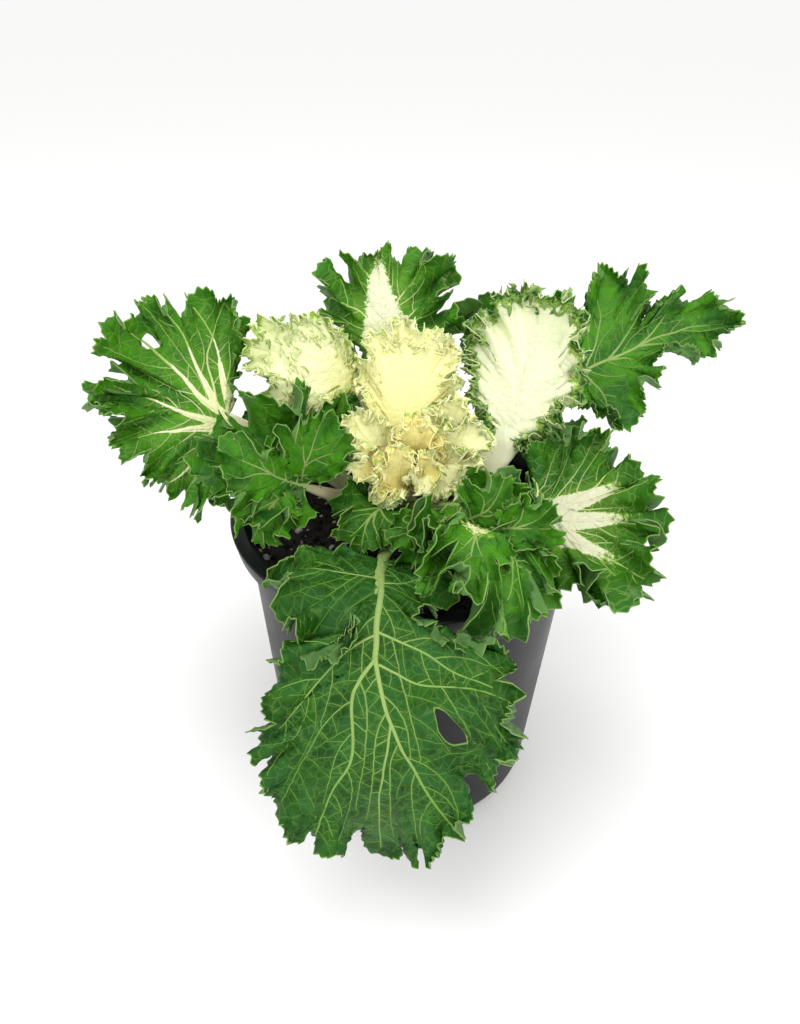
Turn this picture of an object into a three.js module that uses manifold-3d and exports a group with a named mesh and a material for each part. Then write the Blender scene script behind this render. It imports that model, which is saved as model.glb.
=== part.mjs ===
// Ornamental kale in a round nursery pot: a moulded pot, its potting mix, a short stem, a heart of small
// curled leaves and a loose rosette of large frilled leaves, each a solid that ends just short of the stem.
// Millimetres, +Z up. The origin is the middle of the pot's underside; -Y is the front, where a leaf hangs
// down over the rim.
import * as THREE from "three";
import { mergeVertices } from "three/addons/utils/BufferGeometryUtils.js";
import Module from "manifold-3d";

const wasm = await Module();
wasm.setup();

// ---- driving dimensions -----------------------------------------------------------------------------

const FIT_GAP = 0.3; // between neighbouring solids

const pot = {
  rimRadius: 75, // outside of the turned-out rim
  height: 138,
  rimDrop: 7.6, // depth of the rim's skirt
  skirtRadius: 73.6, // bottom of the skirt
  rimWidth: 5.6, // flat top of the rim
  rimChamfer: [0.8, 1.2], // [in, down] at the rim's outer edge
  collarRadius: 68, // band below the rim
  collarDrop: 14.3,
  collarStep: [0.8, 0.6], // [in, down] ledge where the band ends
  footRadius: 59.4,
  footRound: 7, // radius between wall and base
  innerRound: 5, // the same corner inside
  wall: 1.5,
  base: 2.2,
  sides: 52,
  drainHoles: 6,
  drainRadius: 5,
  drainCircle: 38,
};

const soil = {
  top: 122,
  clearance: 0.45, // from the pot's corners, so that its flats clear it by FIT_GAP
  footRound: 6,
  crown: 2, // how much higher it is round the stem
  lumps: 1.5, // height of the crumbs
  calmRim: 6, // width over which the crumbs fade towards the pot
  rings: 7,
  sides: 32,
};

const stem = {
  x: -3,
  foot: 112,
  // [radius, height above the foot], from the foot up to the cut end
  profile: [[7, 0], [6.4, 14], [5.7, 26], [5.2, 38], [3.7, 40]],
  sides: 14,
};

const bladeThickness = 0.9;

const colours = {
  green: 0x3f7a2c,
  cream: 0xf1f2c4,
  heart: 0xf4ecaa,
  stem: 0xcdd3a2,
  soil: 0x1d1714,
  pot: 0x26292b,
};

// ---- the leaves -------------------------------------------------------------------------------------
// rib        points of the stalk and midrib, from the stem to the tip
// stalk      length of the bare stalk
// face       where the upper side looks, at the stalk and at the tip
// outline    [across, along] from left of the stalk, over the tip as its middle point, to right of the stalk
// ribShare   how far the side veins' roots climb the midrib
// fold       how much the left and right halves turn up, in degrees
// wave       [steepness in degrees, number, phase] of the margin's large waves
// frill      [steepness in degrees, band in mm] of the small ones, one for two teeth
// teeth      [number, height in mm]
// stalkWidth of the stalk, at the stem and where the blade starts
// seed       of the leaf's own draws

const leafHabit = {
  ribShare: 0.5,
  fold: [15, 15],
  wave: [45, 6, 0],
  frill: [50, 5],
  teeth: [28, 3.2],
  stalkWidth: [7, 3],
  colour: "green",
};

const leaves = {
  leaf_front: {
    rib: [[-5, -7, 130], [-9, -28, 137], [-11, -50, 144], [-11.5, -70, 147], [-11.5, -84, 143],
      [-10, -95, 131], [-8, -102, 112], [-8, -105, 86], [-8, -103, 60], [-8, -99, 34]],
    stalk: 40,
    face: [[0, -0.2, 1], [0, -1, 0.2]],
    outline: [[-1, 6], [-16, 2], [-25, 20], [-14, 36], [-28, 50], [-41, 50], [-44, 70], [-40, 86],
      [-32, 108], [-18, 130], [2, 152], [24, 127], [39, 98], [43, 70], [30, 46], [15, 50], [6, 41],
      [26, 42], [36, 28], [30, 0], [4, 3]],
    fold: [8, 8], wave: [18, 7, 0.1], frill: [45, 5], teeth: [40, 3.6], seed: 3,
    stalkWidth: [7.5, 5],
  },
  leaf_left: {
    rib: [[-10, 2, 134], [-36, 7, 149], [-60, 9, 163], [-76, 8, 173], [-100, 6, 182], [-128, 2, 190]],
    stalk: 70,
    face: [[0.1, -0.6, 0.9], [0.1, -0.95, 0.4]],
    outline: [[-8, 4], [-22, -6], [-39, -1], [-33, 28], [-20, 50], [-11, 48], [-6, 62], [9, 52], [19, 58],
      [38, 39], [44, 17], [35, 6], [7, 3]],
    ribShare: 0.25, fold: [12, 12], wave: [30, 6, 0.3], teeth: [36, 3.4], seed: 5,
    stalkWidth: [7, 6],
  },
  leaf_left_front: {
    rib: [[-10, -3, 142], [-27, -10, 148], [-44, -16, 157], [-60, -20, 166], [-78, -22, 170]],
    stalk: 22,
    face: [[0, -0.3, 1], [-0.1, -0.85, 0.55]],
    outline: [[-2, 6], [-13, 14], [-20, 28], [-18, 43], [-10, 54], [0, 58], [13, 53], [25, 42], [33, 25],
      [33, 0], [8, 0]],
    fold: [-10, 20], wave: [50, 6, 0.55], frill: [60, 6], teeth: [32, 3.4], seed: 7,
    stalkWidth: [9, 6],
  },
  leaf_left_cream: {
    rib: [[-9.5, 4, 150], [-16, 19, 166], [-25, 23, 182], [-38, 21, 194], [-54, 18, 200], [-66, 17, 205]],
    stalk: 38,
    face: [[0, -0.6, 1], [0.1, -1, 0.4]],
    outline: [[-2, 4], [-16, 10], [-25, 26], [-21, 37], [-13, 45], [-3, 50], [9, 46], [13, 36], [14, 24],
      [9, 13], [3, 5]],
    fold: [20, 20], wave: [40, 6, 0.2], frill: [65, 5], teeth: [28, 2.6], seed: 11, colour: "cream",
  },
  leaf_back: {
    rib: [[-5, 8, 147], [-8, 27, 170], [-10, 40, 190], [-12, 50, 207], [-13, 58, 221], [-14, 63, 232]],
    stalk: 48,
    face: [[0, -1, 0.3], [0, -1, 0.55]],
    outline: [[-4, 4], [-19, 14], [-27, 28], [-25, 42], [-11, 47], [3, 48], [21, 46], [29, 37], [24, 29],
      [36, 20], [8, 2]],
    fold: [15, 15], wave: [50, 6, 0.6], frill: [60, 6], teeth: [32, 3.4], seed: 13,
  },
  leaf_centre_cream: {
    rib: [[-3, 3, 157], [-4, 11, 165], [-3, 19, 179], [-2, 25, 192], [-1, 30, 205], [-1, 34, 214]],
    stalk: 11,
    face: [[0, -1, 0.5], [0, -1, 0.3]],
    outline: [[-3, 0], [-12, 7], [-18, 22], [-19, 36], [-11, 45], [1, 46], [14, 43], [21, 30], [21, 18],
      [14, 6], [4, -1]],
    fold: [18, 18], wave: [35, 7, 0.1], frill: [65, 5], teeth: [28, 2.4], seed: 17, colour: "cream",
  },
  leaf_right_cream: {
    rib: [[5, 3, 147], [20, 3, 150], [31, 5, 156], [39, 9, 168], [44, 16, 183], [45, 22, 199],
      [43, 27, 214], [41, 31, 224]],
    stalk: 40,
    face: [[-0.4, -0.3, 1], [-0.2, -1, 0.3]],
    outline: [[-4, 0], [-20, 16], [-23, 40], [-17, 56], [-5, 60], [6, 60], [18, 53], [24, 38], [21, 22],
      [14, 10], [5, 0]],
    fold: [22, 22], wave: [40, 7, 0.45], frill: [65, 5], teeth: [32, 2.8], seed: 19, colour: "cream",
    stalkWidth: [9, 6],
  },
  leaf_right_back: {
    rib: [[1, 8, 146], [17, 30, 161], [33, 45, 182], [47, 56, 203], [54, 62, 216]],
    stalk: 56,
    face: [[-0.3, -0.6, 1], [-0.2, -1, 0.5]],
    outline: [[-3, 2], [-16, 10], [-19, 24], [-12, 34], [0, 37], [13, 34], [20, 24], [17, 10], [3, 2]],
    fold: [20, 20], wave: [50, 5, 0.5], teeth: [24, 3], seed: 23,
  },
  leaf_far_right: {
    rib: [[5, 4, 140], [30, 22, 151], [52, 36, 165], [70, 45, 177], [90, 52, 184], [109, 56, 192],
      [126, 58, 198], [144, 60, 201]],
    stalk: 80,
    face: [[0, -0.5, 1], [0, -0.85, 0.6]],
    outline: [[-4, 6], [-20, 22], [-38, 38], [-27, 52], [-11, 49], [-17, 68], [2, 84], [14, 66], [6, 50],
      [18, 38], [30, 16], [14, 4], [2, 4]],
    ribShare: 0.6, fold: [8, 8], wave: [30, 6, 0.2], teeth: [36, 3.8], seed: 29,
  },
  leaf_right: {
    rib: [[5, -3, 138], [28, -14, 145], [50, -24, 152], [66, -28, 156], [84, -30, 160], [100, -30, 162]],
    stalk: 48,
    face: [[0, -0.3, 1], [0.1, -0.6, 0.95]],
    outline: [[-3, 2], [-20, -4], [-35, 8], [-31, 28], [-17, 40], [-2, 47], [17, 45], [33, 38], [42, 26],
      [30, 20], [32, 11], [20, 3], [3, 3]],
    ribShare: 0.35, fold: [15, 5], wave: [38, 7, 0.15], teeth: [36, 3.4], seed: 31,
    stalkWidth: [7, 6],
  },
  leaf_front_right: {
    rib: [[0, -7, 142], [12, -17, 150], [22, -29, 156], [30, -43, 159], [37, -57, 158], [43, -69, 152],
      [47, -77, 144]],
    stalk: 20,
    face: [[0, -0.3, 1], [0.2, -0.7, 0.8]],
    outline: [[-4, 2], [-15, 12], [-17, 28], [-10, 46], [-5, 60], [1, 70], [10, 75], [20, 72], [28, 63],
      [35, 50], [30, 26], [18, 3], [4, 2]],
    fold: [10, 27], wave: [34, 7, 0.7], frill: [60, 6], teeth: [32, 3.4], seed: 37,
  },
  leaf_front_small: {
    rib: [[-6, -6, 142], [-10, -16, 148], [-15, -26, 150], [-20, -36, 146], [-23, -43, 139]],
    stalk: 10,
    face: [[0, -0.3, 1], [-0.1, -0.8, 0.7]],
    outline: [[-1, -2], [-9, 5], [-11, 20], [-2, 29], [10, 23], [15, 9], [5, -2]],
    fold: [15, 15], wave: [50, 5, 0.2], frill: [60, 4], teeth: [20, 2.8], seed: 41,
    stalkWidth: [5, 3],
  },
  leaf_left_back: {
    rib: [[-7, 2, 141], [-21, 24, 154], [-32, 42, 164], [-41, 56, 171], [-49, 68, 173]],
    stalk: 46,
    face: [[0.2, -0.4, 1], [0.1, -0.5, 1]],
    outline: [[-3, 2], [-16, 8], [-25, 24], [-18, 40], [-1, 48], [17, 40], [24, 24], [16, 8], [3, 2]],
    fold: [20, 20], wave: [40, 5, 0.1], teeth: [24, 3.2], seed: 45,
  },
  leaf_low_back: {
    rib: [[-3, 4, 136], [-9, 30, 143], [-14, 54, 147], [-18, 74, 148], [-22, 90, 139], [-26, 101, 124],
      [-28, 107, 106]],
    stalk: 52,
    face: [[0, 0.2, 1], [-0.2, 1, 0.4]],
    outline: [[-3, 2], [-20, 8], [-31, 28], [-25, 50], [-9, 66], [2, 70], [14, 64], [27, 48], [30, 26],
      [20, 8], [3, 2]],
    fold: [-10, -10], wave: [28, 7, 0.3], seed: 47,
  },
  leaf_low_left: {
    rib: [[-8, 7, 131], [-31, 23, 139], [-53, 38, 147], [-69, 50, 150], [-84, 61, 139], [-94, 69, 124]],
    stalk: 50,
    face: [[0, 0, 1], [-0.7, 0.6, 0.7]],
    outline: [[-3, 2], [-19, 8], [-28, 26], [-20, 46], [0, 60], [20, 46], [28, 26], [19, 8], [3, 2]],
    fold: [-10, -10], wave: [28, 6, 0.8], seed: 53,
  },
  leaf_low_right: {
    rib: [[0, 4, 130], [20, 26, 139], [38, 44, 146], [53, 58, 148], [66, 70, 139], [75, 79, 124]],
    stalk: 50,
    face: [[0, 0, 1], [0.6, 0.7, 0.7]],
    outline: [[-3, 2], [-19, 8], [-28, 26], [-20, 46], [0, 60], [20, 46], [28, 26], [19, 8], [3, 2]],
    fold: [-10, -10], wave: [28, 6, 0.4], seed: 59,
  },
};

// The heart: small leaves round the end of the stem, each [direction in degrees, reach, height, half width].
const heart = {
  centre: [-1, -6],
  foot: 150,
  core: [5.5, 5.5, 9], // half axes of the bud that joins the leaves
  coreRise: 7, // of the bud's middle over the foot
  ring: 2, // radius the leaves start on
  bulge: 0.6, // outward bow of a leaf, as a share of its reach
  leaves: [
    [75, 2, 31, 8],
    [-160, 6, 29, 8],
    [-5, 8, 29, 8],
    [-85, 5, 25, 8],
    [170, 24, 30, 10],
    [-148, 17, 19, 9],
    [-112, 15, 11, 8],
    [-58, 23, 14, 10],
    [-15, 25, 22, 10],
  ],
};

// ---- small helpers ----------------------------------------------------------------------------------

const radians = THREE.MathUtils.degToRad;
const TURN = 2 * Math.PI;

function vector(list) {
  return new THREE.Vector3(...list);
}

// A fixed draw between 0 and 1 for the nth item of a leaf with that seed.
function draw(n, seed) {
  const x = Math.sin(n * 12.9898 + seed * 78.233) * 43758.5453;
  return x - Math.floor(x);
}

function solidFrom(geometry) {
  const bare = geometry.clone();
  for (const name of Object.keys(bare.attributes)) {
    if (name !== "position") bare.deleteAttribute(name);
  }
  const merged = mergeVertices(bare, 1e-4);
  return new wasm.Manifold(
    new wasm.Mesh({
      numProp: 3,
      vertProperties: new Float32Array(merged.attributes.position.array),
      triVerts: new Uint32Array(merged.index.array),
    }),
  );
}

function geometryFrom(solid) {
  const mesh = solid.getMesh();
  const position = new Float32Array(mesh.numVert * 3);
  for (let i = 0; i < mesh.numVert; i++) {
    position.set(mesh.vertProperties.subarray(i * mesh.numProp, i * mesh.numProp + 3), i * 3);
  }
  return new THREE.BufferGeometry()
    .setAttribute("position", new THREE.BufferAttribute(position, 3))
    .setIndex(new THREE.BufferAttribute(new Uint32Array(mesh.triVerts), 1));
}

// The biggest body of a solid: cutting a leaf clear of the stem can leave a loose scrap behind the stem.
function biggestBody(solid) {
  return solid.decompose().sort((a, b) => b.volume() - a.volume())[0];
}

// ---- a leaf's midrib --------------------------------------------------------------------------------

const RIB_SAMPLES = 120;

function makeRib(leaf) {
  const curve = new THREE.CatmullRomCurve3(leaf.rib.map(vector), false, "catmullrom", 0.5);
  const points = [];
  for (let i = 0; i <= RIB_SAMPLES; i++) points.push(curve.getPoint(i / RIB_SAMPLES));
  const lengths = [0];
  for (let i = 1; i < points.length; i++) lengths.push(lengths[i - 1] + points[i].distanceTo(points[i - 1]));
  const total = lengths[RIB_SAMPLES];
  const [faceStalk, faceTip] = leaf.face.map((f) => vector(f).normalize());

  // Place, forward, side and up at a distance along the rib, and straight on past both of its ends.
  return function frameAt(distance) {
    const inside = THREE.MathUtils.clamp(distance, 0, total);
    let i = 1;
    while (i < RIB_SAMPLES && lengths[i] < inside) i++;
    const share = (inside - lengths[i - 1]) / (lengths[i] - lengths[i - 1]);
    const forward = points[Math.min(i + 2, RIB_SAMPLES)].clone().sub(points[Math.max(i - 3, 0)]).normalize();
    const place = points[i - 1].clone().lerp(points[i], share).addScaledVector(forward, distance - inside);
    const face = faceStalk.clone().lerp(faceTip, inside / total);
    const side = forward.clone().cross(face).normalize();
    const up = side.clone().cross(forward);
    return { place, forward, side, up };
  };
}

// ---- a leaf's blade ---------------------------------------------------------------------------------
// Rays run from the midrib to the margin; turn goes from -1 left of the stalk, over 0 at the tip, to 1.

const RAY_STEPS = 20;
const RING_STEPS = [0, 9, 15, 20]; // the steps of a ray that become vertices
const RING_STRIDES = [4, 4, 2, 1]; // in half teeth, so a leaf has an even number of teeth
const RAY_SWEEP = 1.2; // over 1, the rays crowd towards the tip
const TANGENT_STEP = 0.01; // of the way round the margin
const STEEPEST = 0.6; // cosine past which a crease is thickened no further

// The flat blade's margin, without its teeth, as a curve from one side of the stalk round to the other.
function marginCurve(leaf) {
  const points = leaf.outline.map(([x, y]) => new THREE.Vector3(x, y, 0));
  return new THREE.CatmullRomCurve3(points, false, "catmullrom", 0.5);
}

function marginPoint(leaf, margin, turn) {
  const around = (turn + 1) / 2;
  const place = margin.getPoint(around);
  const ahead = margin.getPoint(Math.min(around + TANGENT_STEP, 1));
  const along = ahead.sub(margin.getPoint(Math.max(around - TANGENT_STEP, 0))).normalize();
  const [teeth, height] = leaf.teeth;
  const tooth = teeth * around;
  const rise = 1 - Math.abs(2 * (tooth - Math.floor(tooth)) - 1);
  const reach = height * (0.5 + 0.8 * draw(Math.floor(tooth), leaf.seed)) * (rise - 0.5);
  return [place.x - reach * along.y, place.y + reach * along.x];
}

function bladeLength(leaf) {
  return leaf.outline[(leaf.outline.length - 1) / 2][1];
}

function bladeHalfWidth(leaf) {
  return Math.max(...leaf.outline.map(([x]) => Math.abs(x)));
}

function rayRoot(leaf, turn) {
  return leaf.ribShare * bladeLength(leaf) * (1 - Math.abs(turn)) ** RAY_SWEEP;
}

// Where a flat point of the blade lies once the blade follows the rib and its halves are folded up.
function bentPoint(leaf, frameAt, x, y) {
  const { place, side, up } = frameAt(leaf.stalk + y);
  const fold = radians(x < 0 ? leaf.fold[0] : leaf.fold[1]) / bladeHalfWidth(leaf);
  const angle = fold * Math.abs(x);
  const across = Math.abs(angle) < 1e-4 ? x : (Math.sin(angle) / fold) * Math.sign(x);
  const lift = Math.abs(angle) < 1e-4 ? 0 : (1 - Math.cos(angle)) / fold;
  return {
    point: place.addScaledVector(side, across).addScaledVector(up, lift),
    normal: up.clone().multiplyScalar(Math.cos(angle)).addScaledVector(side, -Math.sign(x) * Math.sin(angle)),
  };
}

// How steeply a ray climbs out of the blade, and how far it swings sideways, at a share of its way out.
function frillAngles(leaf, turn, share, toMargin) {
  const around = (turn + 1) / 2;
  // two slow sines space the waves unevenly
  const broad = 0.9 * Math.sin(TURN * (1.7 * around + draw(1, leaf.seed)));
  const drift = broad + 0.6 * Math.sin(TURN * (3.3 * around + draw(2, leaf.seed)));
  const [waveAngle, waves, wavePhase] = leaf.wave;
  const phase = TURN * (waves * around + wavePhase) + drift;
  const [frillAngle, frillBand] = leaf.frill;
  const tooth = leaf.teeth[0] * around;
  const uneven = 0.55 + 0.75 * draw(Math.floor(tooth), leaf.seed + 50);
  let climb = radians(waveAngle) * share ** 1.5 * Math.sin(phase);
  climb += radians(frillAngle) * uneven * Math.exp(-toMargin / frillBand) * Math.sin(Math.PI * tooth);
  const swing = -0.5 * radians(waveAngle) * share ** 2 * Math.sin(2 * phase);
  return [climb, swing];
}

// The points of one ray, from the rib to the margin.
function rayPoints(leaf, frameAt, margin, turn) {
  const [edgeX, edgeY] = marginPoint(leaf, margin, turn);
  const rootY = rayRoot(leaf, turn);
  const length = Math.hypot(edgeX, edgeY - rootY);
  const flat = (share) => bentPoint(leaf, frameAt, edgeX * share, rootY + (edgeY - rootY) * share);
  let here = flat(0);
  const points = [here.point.clone()];
  for (let step = 1; step <= RAY_STEPS; step++) {
    const next = flat(step / RAY_STEPS);
    const out = next.point.clone().sub(here.point);
    const stride = out.length();
    out.normalize();
    const along = out.clone().cross(next.normal);
    const share = (step - 0.5) / RAY_STEPS;
    const [climb, swing] = frillAngles(leaf, turn, share, (1 - share) * length);
    const move = out.multiplyScalar(Math.cos(climb) * Math.cos(swing));
    move.addScaledVector(along, Math.cos(climb) * Math.sin(swing));
    move.addScaledVector(next.normal, Math.sin(climb));
    points.push(points[step - 1].clone().addScaledVector(move, stride));
    here = next;
  }
  return points;
}

// The blade's sheet: its points, its triangles and its edge, in order.
function bladeSheet(leaf, frameAt) {
  const columns = 2 * leaf.teeth[0];
  const margin = marginCurve(leaf);
  const rays = [];
  for (let j = 0; j <= columns; j++) rays.push(rayPoints(leaf, frameAt, margin, (2 * j) / columns - 1));
  const points = [];
  const index = RING_STEPS.map(() => new Map());
  RING_STEPS.forEach((step, ring) => {
    for (let j = 0; j <= columns; j += RING_STRIDES[ring]) {
      const mirrored = ring === 0 && j > columns / 2; // both halves share the rib's points
      if (mirrored) index[ring].set(j, index[ring].get(columns - j));
      else index[ring].set(j, points.push(rays[j][step]) - 1);
    }
  });
  const triangles = [];
  for (let ring = 1; ring < RING_STEPS.length; ring++) {
    const [inner, outer] = [index[ring - 1], index[ring]];
    const [wide, fine] = [RING_STRIDES[ring - 1], RING_STRIDES[ring]];
    for (let j = 0; j < columns; j += wide) {
      const [a0, a1] = [inner.get(j), inner.get(j + wide)];
      const [b0, b2] = [outer.get(j), outer.get(j + wide)];
      if (fine === wide) triangles.push([a0, b0, b2], [a0, b2, a1]);
      else {
        const b1 = outer.get(j + fine);
        triangles.push([a0, b0, b1], [a0, b1, a1], [a1, b1, b2]);
      }
    }
  }
  const ends = index.map((ring) => [ring.get(0), ring.get(columns)]);
  const edge = ends.map(([left]) => left);
  for (let j = 1; j < columns; j++) edge.push(index.at(-1).get(j));
  edge.push(...ends.map(([, right]) => right).slice(1).reverse());
  return { points, triangles, edge };
}

// A closed solid of even thickness round the sheet, split into triangles alike on both faces.
function thickened({ points, triangles, edge }, thickness) {
  const normals = points.map(() => new THREE.Vector3());
  const steepest = points.map(() => 1);
  const faceNormals = triangles.map(([a, b, c]) => {
    const normal = points[b].clone().sub(points[a]).cross(points[c].clone().sub(points[a])).normalize();
    for (const corner of [a, b, c]) normals[corner].add(normal);
    return normal;
  });
  normals.forEach((normal) => normal.normalize());
  triangles.forEach((corners, i) => {
    for (const corner of corners) steepest[corner] = Math.min(steepest[corner],
      normals[corner].dot(faceNormals[i]));
  });
  const position = [];
  for (const side of [0.5, -0.5]) {
    points.forEach((point, i) => {
      const reach = (side * thickness) / Math.max(steepest[i], STEEPEST);
      position.push(...point.clone().addScaledVector(normals[i], reach));
    });
  }
  const below = points.length;
  const faces = [];
  for (const [a, b, c] of triangles) faces.push(a, b, c, below + a, below + c, below + b);
  edge.forEach((a, i) => {
    const b = edge[(i + 1) % edge.length];
    faces.push(a, below + a, below + b, a, below + b, b);
  });
  const geometry = new THREE.BufferGeometry();
  geometry.setAttribute("position", new THREE.Float32BufferAttribute(position, 3));
  geometry.setIndex(faces);
  return geometry;
}

const midrib = {
  reach: 0.9, // of the way to the last side vein
  endWidth: 1.2,
  flatness: 1.3, // width over depth
  sink: 0.6, // how far below the blade its middle runs, in half depths
  sides: 6,
  lengths: 6,
};

// Stalk and midrib: a flattened rod that follows the rib under the blade and thins towards the tip.
function stalkGeometry(leaf, frameAt) {
  const length = leaf.stalk + rayRoot(leaf, 0) * midrib.reach;
  const geometry = new THREE.CylinderGeometry(1, 1, 1, midrib.sides, midrib.lengths);
  const position = geometry.attributes.position;
  const [wide, narrow] = leaf.stalkWidth;
  for (let i = 0; i < position.count; i++) {
    const share = position.getY(i) + 0.5;
    const distance = share * length;
    const { place, side, up } = frameAt(distance);
    const onStalk = Math.min(distance / leaf.stalk, 1);
    const onBlade = Math.max(distance - leaf.stalk, 0) / (length - leaf.stalk);
    const width = THREE.MathUtils.lerp(THREE.MathUtils.lerp(wide, narrow, onStalk), midrib.endWidth, onBlade);
    place.addScaledVector(side, (position.getX(i) * width) / 2);
    place.addScaledVector(up, ((position.getZ(i) - midrib.sink) * width) / (2 * midrib.flatness));
    position.setXYZ(i, ...place);
  }
  return geometry;
}

function leafSolid(leaf, clearOf) {
  const frameAt = makeRib(leaf);
  const blade = solidFrom(thickened(bladeSheet(leaf, frameAt), bladeThickness));
  const stalk = solidFrom(stalkGeometry(leaf, frameAt));
  return biggestBody(blade.add(stalk).subtract(clearOf));
}

function heartLeaf(number) {
  const [direction, reach, height, half] = heart.leaves[number];
  const away = [Math.cos(radians(direction)), Math.sin(radians(direction))];
  const length = Math.hypot(reach, height);
  const at = (out, up) => [
    heart.centre[0] + (heart.ring + out * reach) * away[0],
    heart.centre[1] + (heart.ring + out * reach) * away[1],
    heart.foot + up * height + out * (1 - out) * heart.bulge * reach,
  ];
  const face = [-away[0], -away[1], 0.5];
  return {
    ...leafHabit,
    rib: [at(0, 0), at(0.4, 0.35), at(0.8, 0.75), at(1, 1)],
    stalk: 1,
    face: [face, face],
    outline: [[-2, 0], [-0.8 * half, 0.3 * length], [-half, 0.65 * length], [-0.6 * half, 0.92 * length],
      [0, length],
      [0.6 * half, 0.92 * length], [half, 0.65 * length], [0.8 * half, 0.3 * length], [2, 0]],
    fold: [25, 25], wave: [35, 3, 0.37 * number], frill: [55, 4], teeth: [10, 2], seed: 70 + number,
  };
}

function heartSolid(clearOf) {
  const core = new THREE.SphereGeometry(1, 8, 6).scale(...heart.core);
  let solid = solidFrom(core.translate(...heart.centre, heart.foot + heart.coreRise));
  for (let i = 0; i < heart.leaves.length; i++) {
    const leaf = heartLeaf(i);
    solid = solid.add(solidFrom(thickened(bladeSheet(leaf, makeRib(leaf)), bladeThickness)));
  }
  return biggestBody(solid.subtract(clearOf));
}

// ---- pot, soil and stem -----------------------------------------------------------------------------

const shoulder = pot.height - pot.rimDrop - pot.collarDrop; // height of the ledge below the band

function wallRadius(z) {
  return THREE.MathUtils.lerp(pot.footRadius, pot.collarRadius - pot.collarStep[0], z / shoulder);
}

function lathed(profile, sides) {
  const points = profile.map(([radius, z]) => new THREE.Vector2(radius, z));
  return new THREE.LatheGeometry(points, sides).rotateX(Math.PI / 2);
}

function potSolid() {
  const outside = [[0, 0], [pot.footRadius - pot.footRound, 0]];
  for (const degrees of [30, 60, 90]) {
    const across = wallRadius(pot.footRound) - pot.footRound * (1 - Math.sin(radians(degrees)));
    outside.push([across, pot.footRound * (1 - Math.cos(radians(degrees)))]);
  }
  const skirt = pot.height - pot.rimDrop;
  outside.push([wallRadius(shoulder), shoulder], [pot.collarRadius, shoulder + pot.collarStep[1]]);
  outside.push([pot.collarRadius, skirt], [pot.skirtRadius, skirt]);
  outside.push([pot.rimRadius, pot.height - pot.rimChamfer[1]], [pot.rimRadius - pot.rimChamfer[0],
    pot.height]);
  const corner = pot.base + pot.innerRound;
  const inside = [[pot.rimRadius - pot.rimWidth, pot.height],
    [pot.collarRadius - pot.wall, skirt + pot.rimDrop / 2]];
  inside.push([wallRadius(shoulder) - pot.wall, shoulder], [wallRadius(corner) - pot.wall, corner]);
  inside.push([wallRadius(0) - pot.wall - pot.innerRound, pot.base], [0, pot.base]);
  let solid = solidFrom(lathed([...outside, ...inside], pot.sides));
  for (let i = 0; i < pot.drainHoles; i++) {
    const hole = new THREE.CylinderGeometry(pot.drainRadius, pot.drainRadius, 4 * pot.base, 12);
    const angle = (TURN * (i + 0.5)) / pot.drainHoles;
    hole.rotateX(Math.PI / 2);
    hole.translate(pot.drainCircle * Math.cos(angle), pot.drainCircle * Math.sin(angle), 0);
    solid = solid.subtract(solidFrom(hole));
  }
  return solid;
}

// The potting mix fills the pot below its crumbly top.
function soilGeometry() {
  const edgeAt = (z) => wallRadius(z) - pot.wall - soil.clearance;
  const bottom = pot.base + FIT_GAP;
  const widest = edgeAt(shoulder);
  const profile = [[0, bottom], [edgeAt(bottom) - soil.footRound, bottom]];
  profile.push([edgeAt(bottom + soil.footRound), bottom + soil.footRound], [widest, shoulder],
    [widest, soil.top]);
  for (let ring = soil.rings; ring >= 0; ring--) {
    const share = ring / (soil.rings + 1);
    profile.push([widest * share, soil.top + soil.crown * (1 - share) ** 1.5]);
  }
  const lathe = lathed(profile, soil.sides);
  const position = lathe.attributes.position;
  for (let i = 0; i < position.count; i++) {
    const [x, y, z] = [position.getX(i), position.getY(i), position.getZ(i)];
    if (z < soil.top) continue;
    const inward = THREE.MathUtils.clamp((widest - Math.hypot(x, y)) / soil.calmRim, 0, 1);
    const crumbs = Math.sin(x * 0.71 + 1.3) * Math.sin(y * 0.63) + 0.7 * Math.sin(x * 1.37 - y * 1.11);
    position.setZ(i, z + soil.lumps * inward * crumbs);
  }
  return lathe;
}

// The stem, or the room that its neighbours leave round it.
function stemGeometry(grow = 0) {
  const profile = stem.profile.map(([radius, rise]) => [radius + grow, stem.foot + rise]);
  profile[0][1] -= grow;
  profile.at(-1)[1] += grow;
  return lathed([[0, profile[0][1]], ...profile, [0, profile.at(-1)[1]]], stem.sides).translate(stem.x, 0, 0);
}

// ---- assembly ---------------------------------------------------------------------------------------

const plant = new THREE.Group();

function addNode(name, geometry, colour, roughness = 0.6) {
  const material = new THREE.MeshStandardMaterial({ color: colour, roughness, metalness: 0 });
  const mesh = new THREE.Mesh(geometry, material);
  mesh.name = name;
  plant.add(mesh);
}

const stemSolid = solidFrom(stemGeometry());
const stemClearance = solidFrom(stemGeometry(1.1 * FIT_GAP)); // its flats too stay FIT_GAP clear
addNode("pot", geometryFrom(potSolid()), colours.pot, 0.55);
addNode("soil", geometryFrom(solidFrom(soilGeometry()).subtract(stemClearance)), colours.soil, 0.95);
addNode("stem", geometryFrom(stemSolid), colours.stem);
addNode("heart", geometryFrom(heartSolid(stemClearance)), colours.heart);
for (const [name, shape] of Object.entries(leaves)) {
  const leaf = { ...leafHabit, ...shape };
  addNode(name, geometryFrom(leafSolid(leaf, stemClearance)), colours[leaf.colour]);
}

export default plant;
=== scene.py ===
import math
from functools import partial

import bpy
import numpy as np
from mathutils import Matrix, Vector


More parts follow.
